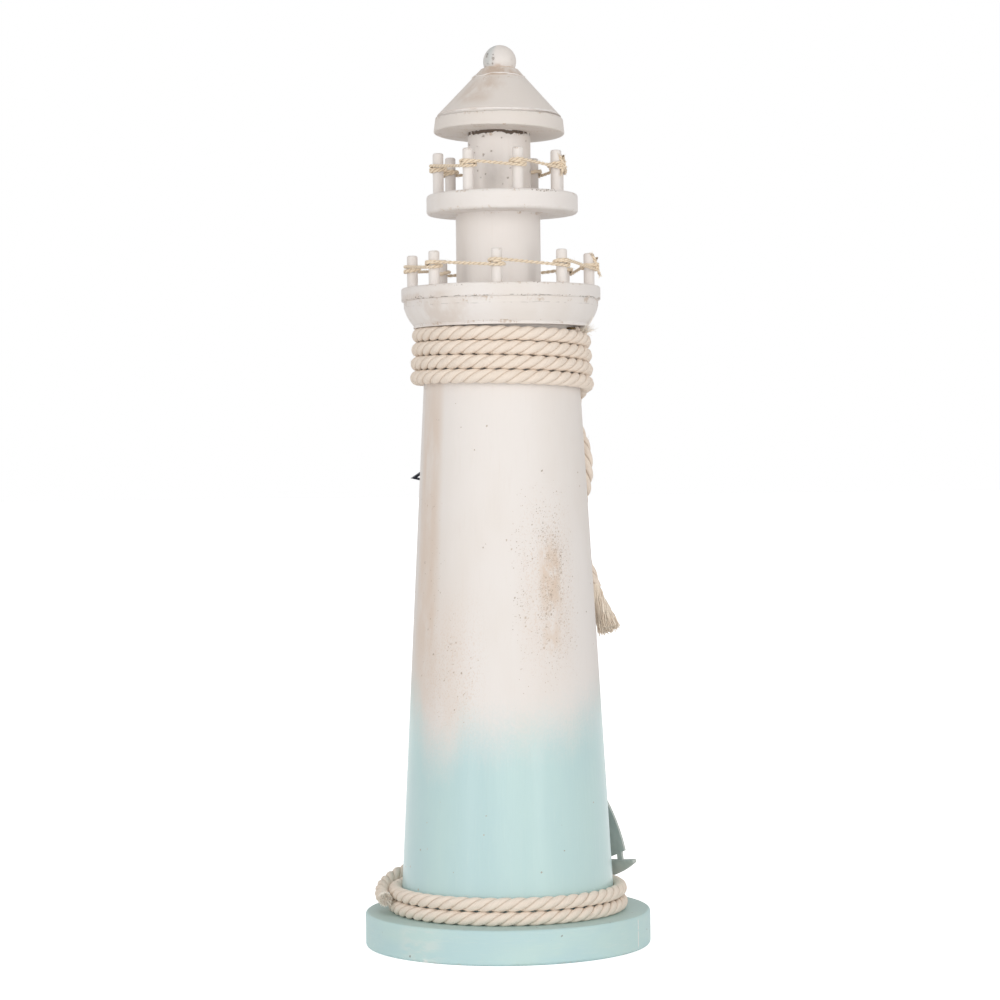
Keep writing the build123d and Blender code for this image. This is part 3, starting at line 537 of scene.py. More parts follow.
class Shape:
    """Collects sheets and tubes into one mesh with a UV of metres along and turns round."""

    def __init__(self):
        self.points = []
        self.faces = []
        self.uvs = []

    def sheet(self, rows, lengths, ring=False, round_from=0.0, round_to=1.0):
        first = len(self.points)
        wide = len(rows[0])
        for row in rows:
            self.points += [at(point) for point in row]
        cells = wide if ring else wide - 1
        for i in range(len(rows) - 1):
            here = first + i * wide
            above = here + wide
            low = lengths[i] * MM
            high = lengths[i + 1] * MM
            for j in range(cells):
                k = (j + 1) % wide
                self.faces.append((here + j, here + k, above + k, above + j))
                left, right = [round_from + (round_to - round_from) * n / cells for n in (j, j + 1)]
                self.uvs += [(low, left), (low, right), (high, right), (high, left)]

    def tube(self, path, radius, sides):
        """A round tube along a path. Radius is a function of the share along the path."""
        _, normals, sidesteps = frames(path)
        lengths = travelled(path)
        rows = []
        for i, point in enumerate(path):
            size = radius(lengths[i] / lengths[-1])
            row = []
            for j in range(sides):
                turn = TAU * j / sides
                row.append(point + (normals[i] * math.cos(turn) + sidesteps[i] * math.sin(turn)) * size)
            rows.append(row)
        self.sheet(rows, lengths, True, 0.3, 0.7)
        self.cap(rows[-1], path[-1])

    def cap(self, row, middle):
        first = len(self.points)
        wide = len(row)
        self.points += [at(point) for point in row] + [at(middle)]
        for j in range(wide):
            self.faces.append((first + j, first + (j + 1) % wide, first + wide))
            self.uvs += [(0, 0.5), (0, 0.5), (0, 0.5)]

    def rope(self, path, diameter, lay, strands=3, fat=0.30, steps=10, reach=105, turn=0.0, width=None):
        """Left-laid strands round a path. Each is the outer part of a round strand, up to its neighbours."""
        tangents, normals, sidesteps = frames(path)
        lengths = travelled(path)
        for k in range(strands):
            rows = []
            for i, point in enumerate(path):
                size = diameter * (width(lengths[i] / lengths[-1]) if width else 1)
                strand = size * fat * (1 + 0.03 * noise.noise(Vector((lengths[i] * 0.08, k * 7.3, turn))))
                phase = turn + TAU * (k / strands - lengths[i] / lay)
                out = normals[i] * math.cos(phase) + sidesteps[i] * math.sin(phase)
                across = tangents[i].cross(out)
                slant = math.atan(TAU * (size / 2 - strand) / lay)
                across = across * math.cos(slant) + tangents[i] * math.sin(slant)
                middle = point + out * (size / 2 - strand)
                row = []
                for j in range(steps + 1):
                    tilt = math.radians(reach * (2 * j / steps - 1))
                    row.append(middle + (out * math.cos(tilt) + across * math.sin(tilt)) * strand)
                rows.append(row)
            self.sheet(rows, [length + k * 31 for length in lengths])

    def fuzz(self, path, diameter, count, longest, thick=0.07):
        """Loose fibres that stand off a rope."""
        tangents, normals, sidesteps = frames(path)
        for _ in range(count):
            i = dice.randrange(len(path))
            turn = dice.uniform(0, TAU)
            out = normals[i] * math.cos(turn) + sidesteps[i] * math.sin(turn)
            along = tangents[i] * dice.choice((-1, 1)) + tangents[i].cross(out) * dice.uniform(-0.8, 0.8)
            length = longest * dice.uniform(0.4, 1)
            start = path[i] + out * diameter * 0.44
            bow = dice.uniform(0.15, 0.6)
            fibre = []
            for t in (0, 0.3, 0.65, 1):
                fibre.append(start + along * length * t + out * length * bow * math.sin(t * 2.4))
            self.tube(fibre, tapered(thick, 0.6), 3)

    def fray(self, end, heading, radius, count, length, thick):
        """The cut end of a rope: short bent yarns."""
        side = heading.orthogonal().normalized()
        other = heading.cross(side)
        for i in range(count):
            reach = radius * math.sqrt((i + 0.5) / count)
            turn = i * GOLDEN_TURN
            off = side * math.cos(turn) + other * math.sin(turn)
            size = length * dice.uniform(0.35, 1.0)
            bend = off * dice.uniform(0.0, 0.5)
            for way in (side, other):
                bend += way * dice.uniform(-0.2, 0.2)
            root = end + off * reach
            path = [end - heading * 1.6 + off * reach * 0.9,
                    root + heading * size * 0.4,
                    root + heading * size * 0.8 + bend * size * 0.5,
                    root + heading * size + bend * size]
            self.tube(path, tapered(thick, 0.55), 4)

    def build(self, name, look, slot, *replaced):
        mesh = bpy.data.meshes.new(name)
        mesh.from_pydata(self.points, [], self.faces)
        layer = mesh.uv_layers.new(name="along")
        layer.data.foreach_set("uv", [value for uv in self.uvs for value in uv])
        mesh.polygons.foreach_set("use_smooth", [True] * len(mesh.polygons))
        mesh.materials.append(look)
        made = add_object(name, mesh)
        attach(made, "root")
        if replaced:
            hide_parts(*replaced)
        return made


def travelled(path):
    """The length along a path at each of its points."""
    lengths = [0.0]
    for before, here in zip(path, path[1:]):
        lengths.append(lengths[-1] + (here - before).length)
    return lengths


def frames(path):
    """Tangents along a path, and two directions square to them that don't twist about it."""
    last = len(path) - 1
    tangents = [(path[min(i + 1, last)] - path[max(i - 1, 0)]).normalized() for i in range(last + 1)]
    normal = tangents[0].orthogonal().normalized()
    normals = [normal]
    for before, here in zip(tangents, tangents[1:]):
        normal = before.rotation_difference(here) @ normal
        normal = (normal - here * normal.dot(here)).normalized()
        normals.append(normal)
    return tangents, normals, [tangent.cross(normal) for tangent, normal in zip(tangents, normals)]


def spline_points(points):
    """Points along the smooth line that a route's points pull into shape."""
    curve = bpy.data.curves.new("route", "CURVE")
    curve.dimensions = "3D"
    curve.resolution_u = 24
    spline = curve.splines.new("NURBS")
    spline.points.add(len(points) - 1)
    for target, point in zip(spline.points, points):
        target.co = (*point, 1)
    spline.order_u = 3
    spline.use_endpoint_u = True
    holder = add_object("route", curve)
    mesh = bpy.data.meshes.new_from_object(holder)
    line = [vertex.co.copy() for vertex in mesh.vertices]
    bpy.data.objects.remove(holder)
    bpy.data.meshes.remove(mesh)
    return line


def even(path, step):
    """The same line with points an even step apart."""
    lengths = travelled(path)
    count = max(2, round(lengths[-1] / step))
    line = []
    i = 0
    for n in range(count + 1):
        target = lengths[-1] * n / count
        while i < len(path) - 2 and lengths[i + 1] < target:
            i += 1
        share = (target - lengths[i]) / (lengths[i + 1] - lengths[i])
        line.append(path[i].lerp(path[i + 1], share))
    return line


# Rope round the tower

WINDING_STEP = 0.9
WINDING_END_STEP = 0.8
WINDING_START = 60.0
WINDING_END = 1444.0
TURN_FALLS = (0.0, 0.05, 0.28, 0.60)
SEEN_PITCH = 7.85
SEEN_TURN_FALLS = (0.0, 0.0, 0.07, 0.36)
TOWER_ROPE_FULL_DIA = ROPE_DIA + 0.95
TOWER_ROPE_TURN = 0.6


def winding_path(curve, start, end):
    """Points along a winding, with a straight end of almost the rope's thickness at each end."""
    count = round((end - start) / WINDING_STEP)
    path = [curve(start + (end - start) * i / count) for i in range(count + 1)]
    first = (path[0] - path[1]).normalized()
    last = (path[-1] - path[-2]).normalized()
    steps = [WINDING_END_STEP * (i + 1) for i in range(int(ROPE_DIA / WINDING_END_STEP))]
    return [path[0] + first * s for s in reversed(steps)] + path + [path[-1] + last * s for s in steps]


def winding_fall(turns, falls):
    """How many pitches the winding has come down after some turns. Falls are its shares at quarter turns."""
    quarters = turns * 4
    i = math.floor(quarters)
    t = quarters - i

    def key(n):
        return n // 4 + falls[n % 4]

    eased = smooth(t)
    fall = key(i) * (1 - eased) + key(i + 1) * eased
    return fall + end_slopes(t, (key(i + 1) - key(i - 1)) / 2, (key(i + 2) - key(i)) / 2)


def tower_winding_at(angle, pitch=ROPE_PITCH, falls=TURN_FALLS):
    z = CORNICE_Z - ROPE_GAP - ROPE_DIA / 2 - pitch * winding_fall((angle - WINDING_START) / 360, falls)
    return around(angle, tower_radius(z) + ROPE_DIA / 2 + ROPE_GAP, z)


def seen_winding_at(angle):
    """The turns as they settle: pressed together and level at the front, falling behind the right edge."""
    return tower_winding_at(angle, SEEN_PITCH, SEEN_TURN_FALLS)


def make_tower_rope(look):
    path = winding_path(seen_winding_at, WINDING_START, WINDING_END)
    made = Shape()
    made.rope(path, TOWER_ROPE_FULL_DIA, ROPE_LAY, turn=TOWER_ROPE_TURN)
    made.fuzz(path, TOWER_ROPE_FULL_DIA, 420, 3.2)
    made.build("tower_rope", look, "cotton_rope", "tower_rope_winding")


# The rope's first end, in the wedge between its first turn and the cornice

START_ANGLE = 53.0
START_SWEEP = 74.0
START_STEPS = 59
TUFT_ANGLE = START_ANGLE - START_SWEEP
TUFT_DROP = 2.6
TUFT_THREADS = 40


def make_rope_start(rope_look, cut_look):
    """Three opened strands, and the loose threads at their end."""
    strands = Shape()
    for k in range(3):
        path = []
        for n in range(START_STEPS + 1):
            t = n / START_STEPS
            angle = START_ANGLE - START_SWEEP * t
            room = 0.5 * (CORNICE_Z - 0.4 - seen_winding_at(angle + 360).z - ROPE_DIA / 2)
            middle = CORNICE_Z - 0.3 - room
            thin = 1.65 - 0.55 * t
            z = middle + (k - 1) * (room - thin) * 0.85
            off = 1.9 + 0.8 * math.sin(t * 16 + k * 2.1) + (1.4 if k == 1 else 0)
            path.append(around(angle, tower_radius(z) + off, z))
        strands.tube(path, lambda share: 1.55 - 0.5 * share, 8)
    strands.build("rope_start", rope_look, "cotton_rope")
    tuft = Shape()
    for _ in range(TUFT_THREADS):
        angle = TUFT_ANGLE + dice.uniform(-3, 4)
        z = CORNICE_Z - TUFT_DROP + dice.uniform(-1.6, 1.4)
        begin = around(angle + 8, tower_radius(z) + dice.uniform(1.4, 5.2), z)
        way = around(angle - dice.uniform(-16, 50), 1, 0)
        length = dice.uniform(3.0, 9.5)
        rise = dice.uniform(-0.3, 1.0)
        path = [begin]
        for t in (0.35, 0.7, 1.0):
            path.append(begin + way * length * t + UP * (rise * length * t * t))
        tuft.tube(path, tapered(0.22, 0.5), 4)
    tuft.build("rope_start_tuft", cut_look, "cotton_rope")


# The rope's tail and tassel

TAIL_FIRST_RUN = 7.6
TAIL_FULL_DIA = ROPE_DIA + 0.3
TAIL_LAY = 26.0
TAIL_FLARE = 0.1

# Points of (angle, drop below the cornice, distance from the tower)
TAIL_ROUTE = [
    (29.4, 36.4, 2.5),
    (35.3, 43.0, 2.0),
    (35.2, 51.7, 1.6),
    (29.4, 59.3, 1.4),
    (23.0, 67.0, 1.2),
    (20.4, 76.5, 1.0),
    (22.6, 86.0, 0.8),
    (28.6, 95.0, 0.7),
    (34.8, 105.0, 0.8),
    (36.0, 118.0, 0.9),
    (31.0, 130.5, 1.0),
    (24.0, 140.5, 1.1),
    (21.5, 146.0, 1.2),
]
TASSEL_LENGTH = 27.0
TASSEL_YARNS = 170
TASSEL_STEPS = 18
TASSEL_NECK = 0.12
TASSEL_TWIST = 2.6
TASSEL_OUT = 2.45


def make_tail(rope_look, fibre_look):
    winding = winding_path(tower_winding_at, WINDING_START, WINDING_END)
    exit_point = winding[-1]
    heading = (winding[-1] - winding[-2]).normalized()
    route = [exit_point, exit_point + heading * TAIL_FIRST_RUN]
    for angle, drop, stand_off in TAIL_ROUTE:
        z = CORNICE_Z - drop
        route.append(around(angle, tower_radius(z) + ROPE_DIA / 2 + stand_off, z))
    line = spline_points(route)
    tail = Shape()
    lead = -travelled(winding)[-1] / ROPE_LAY * TAU + TOWER_ROPE_TURN
    tail.rope(line, TAIL_FULL_DIA, TAIL_LAY, fat=0.275, reach=115, turn=lead % TAU,
              width=lambda share: 1 + TAIL_FLARE * smooth((share - 0.86) / 0.12))
    tail.fuzz(line, ROPE_DIA, 60, 3.0)
    tail_piece = tail.build("hanging_rope", rope_look, "cotton_rope", "hanging_rope_tail")
    tassel_piece = make_tassel(line[-1], (route[-1] - route[-2]).normalized(), fibre_look)


def make_tassel(end, heading, look):
    """Loose yarns that spread from the rope's end to a wide, uneven brush."""
    out = Vector((end.x, end.y, 0)).normalized()
    along = heading.cross(out).normalized()
    made = Shape()
    for i in range(TASSEL_YARNS):
        reach = math.sqrt((i + 0.5) / TASSEL_YARNS)
        turn = i * GOLDEN_TURN
        length = TASSEL_LENGTH * dice.uniform(0.95, 1.02)
        phase = dice.uniform(0, TAU)
        lean = dice.uniform(-0.9, 0.9)
        path = []
        for n in range(TASSEL_STEPS + 1):
            t = n / TASSEL_STEPS
            spread = smooth((t - TASSEL_NECK) / (1 - TASSEL_NECK))
            wide = 3.3 + 6.2 * (0.35 * spread + 0.65 * t ** 1.5)
            deep = 3.2 + 2.3 * t ** 1.4
            twist = turn - TASSEL_TWIST * (1 - (1 - t) ** 2)
            x = reach * math.cos(twist) * wide
            y = reach * math.sin(twist) * deep
            crimp = 0.2 * math.sin(phase + t * 14) * min(1, t * 4)
            place = end + heading * (t * length - 1.2) + out * (TASSEL_OUT * t + y + crimp)
            path.append(place + along * (x + lean * t ** 2 + crimp))
        made.tube(path, tapered(dice.uniform(0.30, 0.44), 0.25, 3), 5)
    return made.build("rope_fringe", look, "cotton_rope", "rope_tassel")


# Rope round the foot

FOOT_START = 115.0
FOOT_TOPS = (470.0, 830.0)
FOOT_CLIMB = 80.0
FOOT_CROSS = (838.0, 904.0)
FOOT_FALL = (889.5, 911.5)
FOOT_LAST_DROP = 0.3
FOOT_ROPE_FULL_DIA = ROPE_DIA + 0.62
FOOT_ROPE_TURN = 1.9
CUT_POINTS = 9


def foot_rope_at(angle):
    """Two turns, each climbing on the last, and an end that crosses over them and drops."""
    first, second = [smooth((angle - top) / FOOT_CLIMB + 1) for top in FOOT_TOPS]
    over = smooth((angle - FOOT_CROSS[0]) / (FOOT_CROSS[1] - FOOT_CROSS[0])) * math.pi / 2
    down = smooth((angle - FOOT_FALL[0]) / (FOOT_FALL[1] - FOOT_FALL[0]))
    z = BASE_H + ROPE_GAP + ROPE_DIA / 2 + ROPE_PITCH * (first - FOOT_LAST_DROP * down)
    radius = tower_radius(z) + ROPE_DIA / 2 + ROPE_GAP + ROPE_PITCH * second * math.sin(over)
    return around(angle, radius, z + ROPE_PITCH * second * math.cos(over))


def make_foot_rope(rope_look, cut_look):
    path = winding_path(foot_rope_at, FOOT_START, FOOT_FALL[1])
    made = Shape()
    made.rope(path, FOOT_ROPE_FULL_DIA, ROPE_LAY, turn=FOOT_ROPE_TURN)
    made.fuzz(path, FOOT_ROPE_FULL_DIA, 330, 3.2)
    made.build("foot_rope", rope_look, "cotton_rope", "base_rope_winding")
    cut = Shape()
    cut.tube(path[-CUT_POINTS:], lambda share: ROPE_DIA * (0.40 + 0.13 * smooth(share * 1.4)), 14)
    cut.fray(path[-1], (path[-1] - path[-4]).normalized(), ROPE_DIA * 0.50, 110, 3.6, 0.34)
    cut.build("foot_rope_fray", cut_look, "cotton_rope")


# Twine railings

TWINE_CLIMB = 2.92
TWINE_STEP = 0.6
TWINE_GAP = 0.15
TWINE_FORM = {"lay": 6.0, "strands": 2, "steps": 7, "reach": 125}
KNOT_FORM = {**TWINE_FORM, "steps": 6, "reach": 120}
KNOT_STEPS = 72
KNOT_SIZE = 0.62
KNOT_OUT = 4.3
KNOT_UP = 2.2
EXTRA_TURN_R = 4.25
GALLERY_RING_R = 49.2
GALLERY_POST_PLACES = [around(-2.5 + 45 * i, GALLERY_RING_R, 0) for i in range(8)]
LANTERN_RING_R = 34.2
LANTERN_POST_ANGLES = (-24.0, 16.0, 56.0, 100.0, 144.0, 186.0, 240.0, 287.0)
LANTERN_POST_PLACES = [around(angle, LANTERN_RING_R, 0) for angle in LANTERN_POST_ANGLES]

# Each railing's name, post places, twine height, loose fibres, and knot ends as points (out, sideways, up)
RAILINGS = [
    ("gallery", GALLERY_POST_PLACES, GALLERY_Z + 9.5, 300,
     [[(-0.4, -1.6, 2.6), (-2.2, -2.4, 5.4)], [(0.6, -1.0, -2.4), (1.4, -1.4, -4.6)]]),
    ("lantern", LANTERN_POST_PLACES, LANTERN_Z + 13.2, 260,
     [[(-0.4, -1.0, 2.2), (-1.6, -1.2, 4.0)], [(0.2, -0.8, -2.4), (-0.4, -1.0, -4.6)]]),
]


def climb_rate(start, end):
    return (end.z - start.z) / (end - start).to_2d().length


def rail_path(places, height):
    """One turn round each post, entered and left along outer tangents, as points an even step apart."""
    reach = POST_R + TWINE_DIA / 2 + TWINE_GAP
    runs = []
    for i, here in enumerate(places):
        there = places[(i + 1) % len(places)]
        side = (there - here).normalized().cross(UP)
        rise = 2 * TWINE_CLIMB if i == 0 else TWINE_CLIMB
        runs.append((here + side * reach + UP * (height + rise), there + side * reach + UP * height, side))
    path = [runs[0][0] - (runs[0][1] - runs[0][0]).normalized() * TWINE_DIA]
    for i, (start, end, side) in enumerate(runs):
        count = max(4, round((end - start).length / TWINE_STEP))
        path += [start.lerp(end, n / count) for n in range(count)]
        after_start, after_end, after_side = runs[(i + 1) % len(runs)]
        slope = climb_rate(start, end)
        after_slope = 0 if i == len(runs) - 1 else climb_rate(after_start, after_end)
        turn = TAU + (math.atan2(after_side.y, after_side.x) - math.atan2(side.y, side.x)) % TAU
        centre = places[(i + 1) % len(places)]
        count = round(reach * turn / TWINE_STEP)
        for n in range(count + 1):
            t = n / count
            z = height + TWINE_CLIMB * smooth(t)
            z += reach * turn * end_slopes(t, slope, after_slope)
            arm = Matrix.Rotation(turn * t, 3, "Z") @ side
            path.append(centre + arm * reach + UP * z)
    return even(path, TWINE_STEP)


def knot(shape, centre, out, ends):
    """A small tight knot on the outside of a post, with its two frayed ends."""
    side = UP.cross(out).normalized()
    loop = []
    for n in range(KNOT_STEPS + 1):
        t = TAU * n / KNOT_STEPS
        x = math.sin(t) + 2 * math.sin(2 * t)
        y = math.cos(t) - 2 * math.cos(2 * t)
        loop.append(centre + (side * x + UP * y * 0.8 - out * math.sin(3 * t) * 1.1) * KNOT_SIZE)
    shape.rope(even(loop, 0.5), TWINE_DIA * 0.9, **KNOT_FORM)
    for end in ends:
        route = [centre] + [centre + (out * far + side * sideways + UP * up) for far, sideways, up in end]
        line = even(spline_points(route), 0.5)
        shape.rope(line, TWINE_DIA, **KNOT_FORM)
        shape.fray(line[-1], (line[-1] - line[-3]).normalized(), 0.7, 14, 2.6, 0.15)


def make_twines(look):
    """The railings' twines, with one more slanting turn at each post and a knot at the first."""
    for name, places, height, hairs, ends in RAILINGS:
        path = rail_path(places, height)
        made = Shape()
        made.rope(path, TWINE_DIA, **TWINE_FORM)
        made.fuzz(path, TWINE_DIA, hairs, 2.6, 0.05)
        for place in places:
            slant = dice.uniform(0.14, 0.30)
            axis = Vector((dice.uniform(-1, 1), dice.uniform(-1, 1), 0))
            tilt = Matrix.Rotation(slant, 3, axis)
            middle = place + UP * (height + TWINE_CLIMB / 2)
            ring = [middle + tilt @ around(angle, EXTRA_TURN_R, 0) for angle in range(0, 366, 6)]
            made.rope(ring, TWINE_DIA * 0.95, **TWINE_FORM)
        out = places[0].normalized()
        knot(made, places[0] + out * KNOT_OUT + UP * (height + KNOT_UP), out, ends)
        made.build(name + "_twine", look, "jute_twine", name + "_rail_twine")


# Filler between the ball and the roof

BEAD_R = 8.35
BEAD_UP = 35.95
BEAD_STEPS = 96
FILLER_TOP_R = 10.5
FILLER_DROP = 4.2
FILLER_FLARE = 0.92
FILLER_STEPS = 144
ROOF_LEAN_X = -2.0
ROOF_LEAN_Y = 1.2


def make_filler(bead_look, edge_look):
    """An uneven bead under the ball, and the thin lower edge of the filler on the leaning roof."""
    lean_x = Matrix.Rotation(math.radians(ROOF_LEAN_X), 4, "X")
    lean_y = Matrix.Rotation(math.radians(ROOF_LEAN_Y), 4, "Y")
    lean = Matrix.Translation((0, 0, ROOF_Z)) @ (lean_x @ lean_y)
    path = []
    for n in range(BEAD_STEPS + 1):
        angle = 360 * n / BEAD_STEPS
        radius = BEAD_R + 0.35 * noise.noise(around(angle, 2, 1.7))
        path.append(lean @ around(angle, radius, BEAD_UP))
    bead = Shape()
    bead.tube(path, lambda share: 0.75 + 0.25 * noise.noise(Vector((share * 14, 3.1, 0))), 8)
    bead.build("ball_bead", bead_look, "white_paint")
    path = []
    for n in range(FILLER_STEPS + 1):
        angle = 360 * n / FILLER_STEPS
        drop = FILLER_DROP + 1.5 * noise.noise(around(angle, 2.4, 5.2))
        path.append(lean @ around(angle, FILLER_TOP_R + FILLER_FLARE * drop, ROOF_H - drop))
    edge = Shape()
    edge.tube(path, lambda share: 0.34 + 0.3 * noise.noise(Vector((share * 17, 8.4, 0))), 8)
    edge.build("roof_filler_edge", edge_look, "white_paint")


# Looks of the rigid pieces

def cornice_paint():
    return white_paint(
        "cornice_paint",
        worn=[(CORNICE_Z + 1.5, 0.6, 1.4), (CORNICE_Z + 13.7, 1.2, 2.0)],
        # The faint dark line at the lip is painted shade in the crease.
        cracks_and_shade_lines=[(CORNICE_Z + 11.4, 0.05, 0.25, 0.50, 0.22)],
        stains_and_painted_light=[(232, 26, CORNICE_Z - 2.5, CORNICE_Z + 15.5, 4, 0.35, WARM)],
        upright=False)


def gallery_deck_paint():
    joint = GALLERY_JOINT_Z
    return white_paint(
        "gallery_paint",
        worn=[(joint, 0.6, 1.4), (GALLERY_Z - 0.6, 0.5, 1.0)],
        cracks_and_shade_lines=[(joint + 0.1, 0.05, 0.28, 0.48, 0.55), (GALLERY_Z - 0.4, 0.1, 0.4, 0.68, 0.45)],
        specks=[(216, 22, joint - 2.0, joint + 1.8, 0.9, 0.55),
                (246, 4, GALLERY_Z - 1.8, GALLERY_Z + 1.2, 0.6, 0.8),
                (291, 3, GALLERY_Z - 1.8, GALLERY_Z + 1.2, 0.6, 0.8),
                (275, 70, joint - 0.6, joint + 0.8, 0.6, 0.25)],
        stains_and_painted_light=[(215, 30, joint - 3.6, joint + 4.4, 3, 0.45, WARM)],
        upright=False)


def lantern_deck_paint():
    return white_paint(
        "lantern_deck_paint",
        worn=[(LANTERN_DECK_Z + 0.9, 0.8, 1.6), (LANTERN_Z - 0.8, 0.5, 1.2)],
        cracks_and_shade_lines=[(LANTERN_Z - 0.8, 0.12, 0.35, 0.68, 0.5)],
        specks=[(305, 12, LANTERN_Z - 1.8, LANTERN_Z + 0.6, 0.5, 0.6)],
        upright=False)


def lantern_room_paint():
    return white_paint(
        "lantern_paint",
        worn=[(ROOF_Z - 1.4, 0.8, 2.0)],
        cracks_and_shade_lines=[(ROOF_Z - 0.2, 0.8, 0.35, 0.38, 0.95)],
        # The grey patch behind the front posts is painted shade.
        stains_and_painted_light=[(262, 30, LANTERN_Z + 0.6, LANTERN_Z + 19.6, 8, 0.45, GREY)],
        pits=0.06, jag=0.0042)


def roof_paint():
    rim = ROOF_RIM_Z
    tip = ROOF_TIP_Z
    return white_paint(
        "roof_paint",
        worn=[(tip - 2, 4.0, 5.0), (rim, 0.5, 0.9), (ROOF_Z + 0.6, 0.8, 1.6)],
        # The dark line just above the rim is painted shade in the groove.
        cracks_and_shade_lines=[(rim + 0.7, 0.25, 0.3, 0.25, 0.26)],
        # The bright band above the rim, on the front only, is a painted highlight.
        stains_and_painted_light=[(270, 110, rim + 1.2, rim + 2.7, 0.4, 1.0, PAINTED_HIGHLIGHT_WHITE),
               (270, 95, tip - 5.4, tip + 3, 1.4, 0.85, WARM),
               (90, 95, tip - 5.0, tip + 3, 1.4, 0.80, WARM),
               (238, 30, tip - 24, tip - 4, 6, 0.45, WARM),
               (262, 26, tip - 16, tip - 3, 4, 0.35, WARM)],
        # The darker base white is painted shade on the upward-facing cone.
        base=ROOF_SHADED_WHITE, upright=False)


def ball_paint():
    tip = ROOF_TIP_Z
    return white_paint(
        "ball_paint",
        worn=[(tip, 1.5, 1.5)],
        stains_and_painted_light=[(205, 55, tip, tip + 16, 3, 0.6, BLUE_GREY), (285, 40, tip - 1, tip + 3.4, 2, 0.85, WARM)],
        pits=0.09, base=BALL_WHITE)


def post_paint(railing, foot, top):
    return white_paint(railing + "_post_paint", worn=[(top, 0.4, 1.4), (foot, 0.3, 1.2)], wear=0.77)


def wear_all():
    """Gives each node that isn't replaced its look."""
    boat = boat_paint()
    steel = metal("zinc_steel", (0.46, 0.46, 0.47, 1), (0.60, 0.60, 0.60, 1), 0.9, 0.30)
    looks = {
        "base_plinth": aqua_paint(),
        "tower_body": tower_paint(),
        "gallery_cornice": cornice_paint(),
        "gallery_deck": gallery_deck_paint(),
        "watch_room": white_paint("watch_room_paint", worn=[(LANTERN_DECK_Z - 0.5, 0.4, 1.5)]),
        "lantern_deck": lantern_deck_paint(),
        "lantern_room": lantern_room_paint(),
        "roof_cap": roof_paint(),
        "finial_ball": ball_paint(),
        "boat_hull": boat,
        "boat_sail": boat,
        "anchor": metal("anchor_paint", (0.012, 0.017, 0.032, 1), (0.05, 0.06, 0.085, 1), 0.35, 0.38),
        "anchor_nail": steel,
        "rope_staple": metal("staple_wire", (0.10, 0.065, 0.025, 1), (0.33, 0.235, 0.10, 1), 0.8, 0.35),
        "base_screw": steel,
    }
    looks |= dict.fromkeys(("gallery_dowel", "lantern_dowel", "roof_dowel", "finial_pin"), bare_wood())
    posts = {"gallery": post_paint("gallery", GALLERY_Z + 0.2, GALLERY_Z + 17.8),
             "lantern": post_paint("lantern", LANTERN_Z + 0.4, LANTERN_Z + 22.4)}
    for name in nodes:
        railing, _, rest = name.partition("_")
        if rest.startswith("post_"):
            looks[name] = posts[railing]
    for name, look in looks.items():
        mesh = nodes[name].data
        mesh.materials.clear()
        mesh.materials.append(look)


# Stage, in metres

FLOOR_HALF = 60
FLOOR_GLOW = 0.7
WORLD_STRENGTH = 0.58
LAMP_COLOUR = (1.0, 0.985, 0.965)
LAMP_TARGET = Vector((0, 0, 0.25))

# Each lamp's name, place, width, height and power
LAMPS = [
    ("front", (0.0, -1.8, 0.5), 1.0, 0.9, 5.4),
    ("right", (1.0, -1.4, 0.45), 0.26, 1.5, 6.4),
    ("left", (-1.15, -1.3, 0.45), 0.30, 1.5, 5.4),
]
CAMERA_PLACE = (-0.0018, -1.6, 0.2624)
CAMERA_LENS = 103.4
CAMERA_SENSOR = 36.0
CAMERA_PITCH = -0.56
CAMERA_ROLL = 0.67


def backdrop_rays(tree):
    """One for the rays that see the backdrop, straight on, in a reflection or through glass."""
    rays = put(tree, "LightPath").outputs
    return largest(tree, [rays["Is Camera Ray"], rays["Is Glossy Ray"], rays["Is Transmission Ray"]])


def make_floor():
    made, tree, shader = material("floor", Roughness=0.9, Specular_IOR_Level=0.1, Emission_Color=(1, 1, 1, 1))
    mottle = grain(tree, 0.3, detail=2.0)
    feed(tree, shader, Base_Color=blend(tree, mottle, (0.90, 0.90, 0.90, 1), (0.92, 0.92, 0.92, 1)),
         Emission_Strength=times(tree, backdrop_rays(tree), FLOOR_GLOW))
    mesh = bpy.data.meshes.new("floor")
    corners = [(x * FLOOR_HALF, y * FLOOR_HALF, 0) for x, y in ((-1, -1), (1, -1), (1, 1), (-1, 1))]
    mesh.from_pydata(corners, [], [(0, 1, 2, 3)])
    mesh.materials.append(made)
    floor = add_object("floor", mesh)


def make_world():
    """A soft, even light that is plain white where it is seen."""
    world = bpy.data.worlds.new("studio")
    world.use_nodes = True
    tree = world.node_tree
    back = tree.nodes["Background"]
    back.inputs["Color"].default_value = (1, 0.99, 0.98, 1)
    back.inputs["Strength"].default_value = WORLD_STRENGTH
    white = put(tree, "Background", [("Color", (1, 1, 1, 1)), ("Strength", 1.0)])
    mixed = put(tree, "MixShader", [(0, backdrop_rays(tree)), (1, back.outputs[0]), (2, white.outputs[0])])
    tree.links.new(mixed.outputs[0], tree.nodes["World Output"].inputs["Surface"])
    bpy.context.scene.world = world


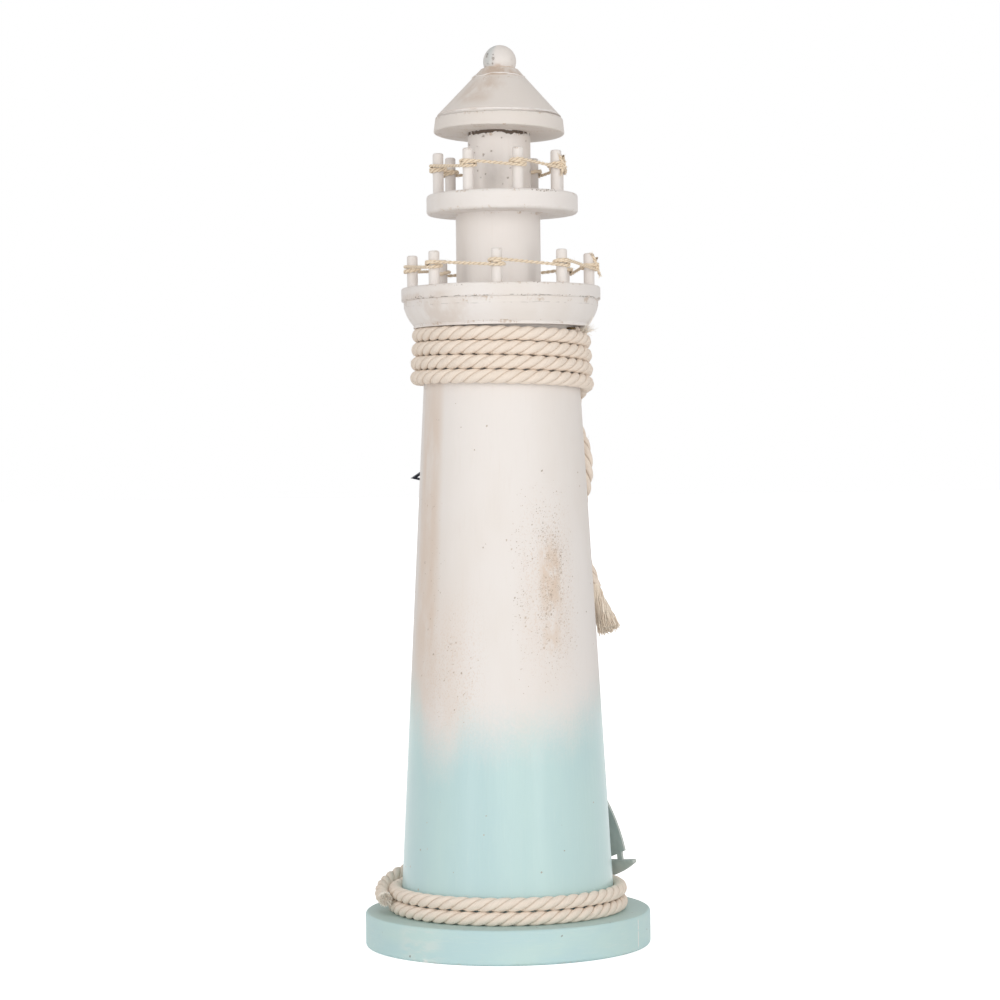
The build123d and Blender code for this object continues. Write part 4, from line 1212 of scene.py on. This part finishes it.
def make_lamps():
    for name, place, wide, high, power in LAMPS:
        light = bpy.data.lights.new(name, "AREA")
        light.shape = "RECTANGLE"
        light.size = wide
        light.size_y = high
        light.energy = power
        light.color = LAMP_COLOUR
        lamp = add_object(name, light)
        lamp.location = place
        lamp.rotation_euler = (LAMP_TARGET - Vector(place)).to_track_quat("-Z", "Y").to_euler()


def make_camera():
    """Nearly level, from the plain side, with the slight roll of the photograph."""
    data = bpy.data.cameras.new("camera")
    data.lens = CAMERA_LENS
    data.sensor_width = CAMERA_SENSOR
    data.clip_end = 30.0
    camera = add_object("camera", data)
    pitch = math.radians(CAMERA_PITCH)
    roll = math.radians(CAMERA_ROLL)
    ahead = Vector((0, math.cos(pitch), math.sin(pitch)))
    right = Vector((1, 0, 0))
    up = right.cross(ahead)
    leaning = up * math.cos(roll) + right * math.sin(roll)
    across = ahead.cross(leaning)
    turn = Matrix((across, leaning, -ahead)).transposed()
    camera.matrix_world = Matrix.Translation(CAMERA_PLACE) @ turn.to_4x4()
    bpy.context.scene.camera = camera


make_camera()
make_floor()
make_world()
make_lamps()
bpy.context.scene.view_settings.view_transform = "Standard"
# Each yarn's third colour is painted shade for the creases between its strands.
cotton = yarn("cotton", (0.93, 0.825, 0.725, 1), (0.83, 0.715, 0.61, 1), (0.40, 0.285, 0.19, 1), 26.0, 0.030)
fringe = plain_fibre("cotton_fringe", (0.87, 0.755, 0.625, 1), (0.95, 0.86, 0.74, 1))
twine = yarn("twine", (0.93, 0.80, 0.63, 1), (0.84, 0.70, 0.53, 1), (0.52, 0.385, 0.26, 1), 12.0, 0.010, 0.4)
cut_end = plain_fibre("cotton_cut", (0.93, 0.85, 0.75, 1), (0.97, 0.92, 0.84, 1))
filler = plain_fibre("filler", (0.62, 0.50, 0.40, 1), (0.76, 0.66, 0.57, 1))
filler_edge = plain_fibre("filler_edge", (0.80, 0.755, 0.72, 1), (0.84, 0.80, 0.77, 1))
make_tower_rope(cotton)
make_tail(cotton, fringe)
make_foot_rope(cotton, cut_end)
make_rope_start(cotton, cut_end)
make_twines(twine)
make_filler(filler, filler_edge)
wear_all()

bpy.context.view_layer.update()
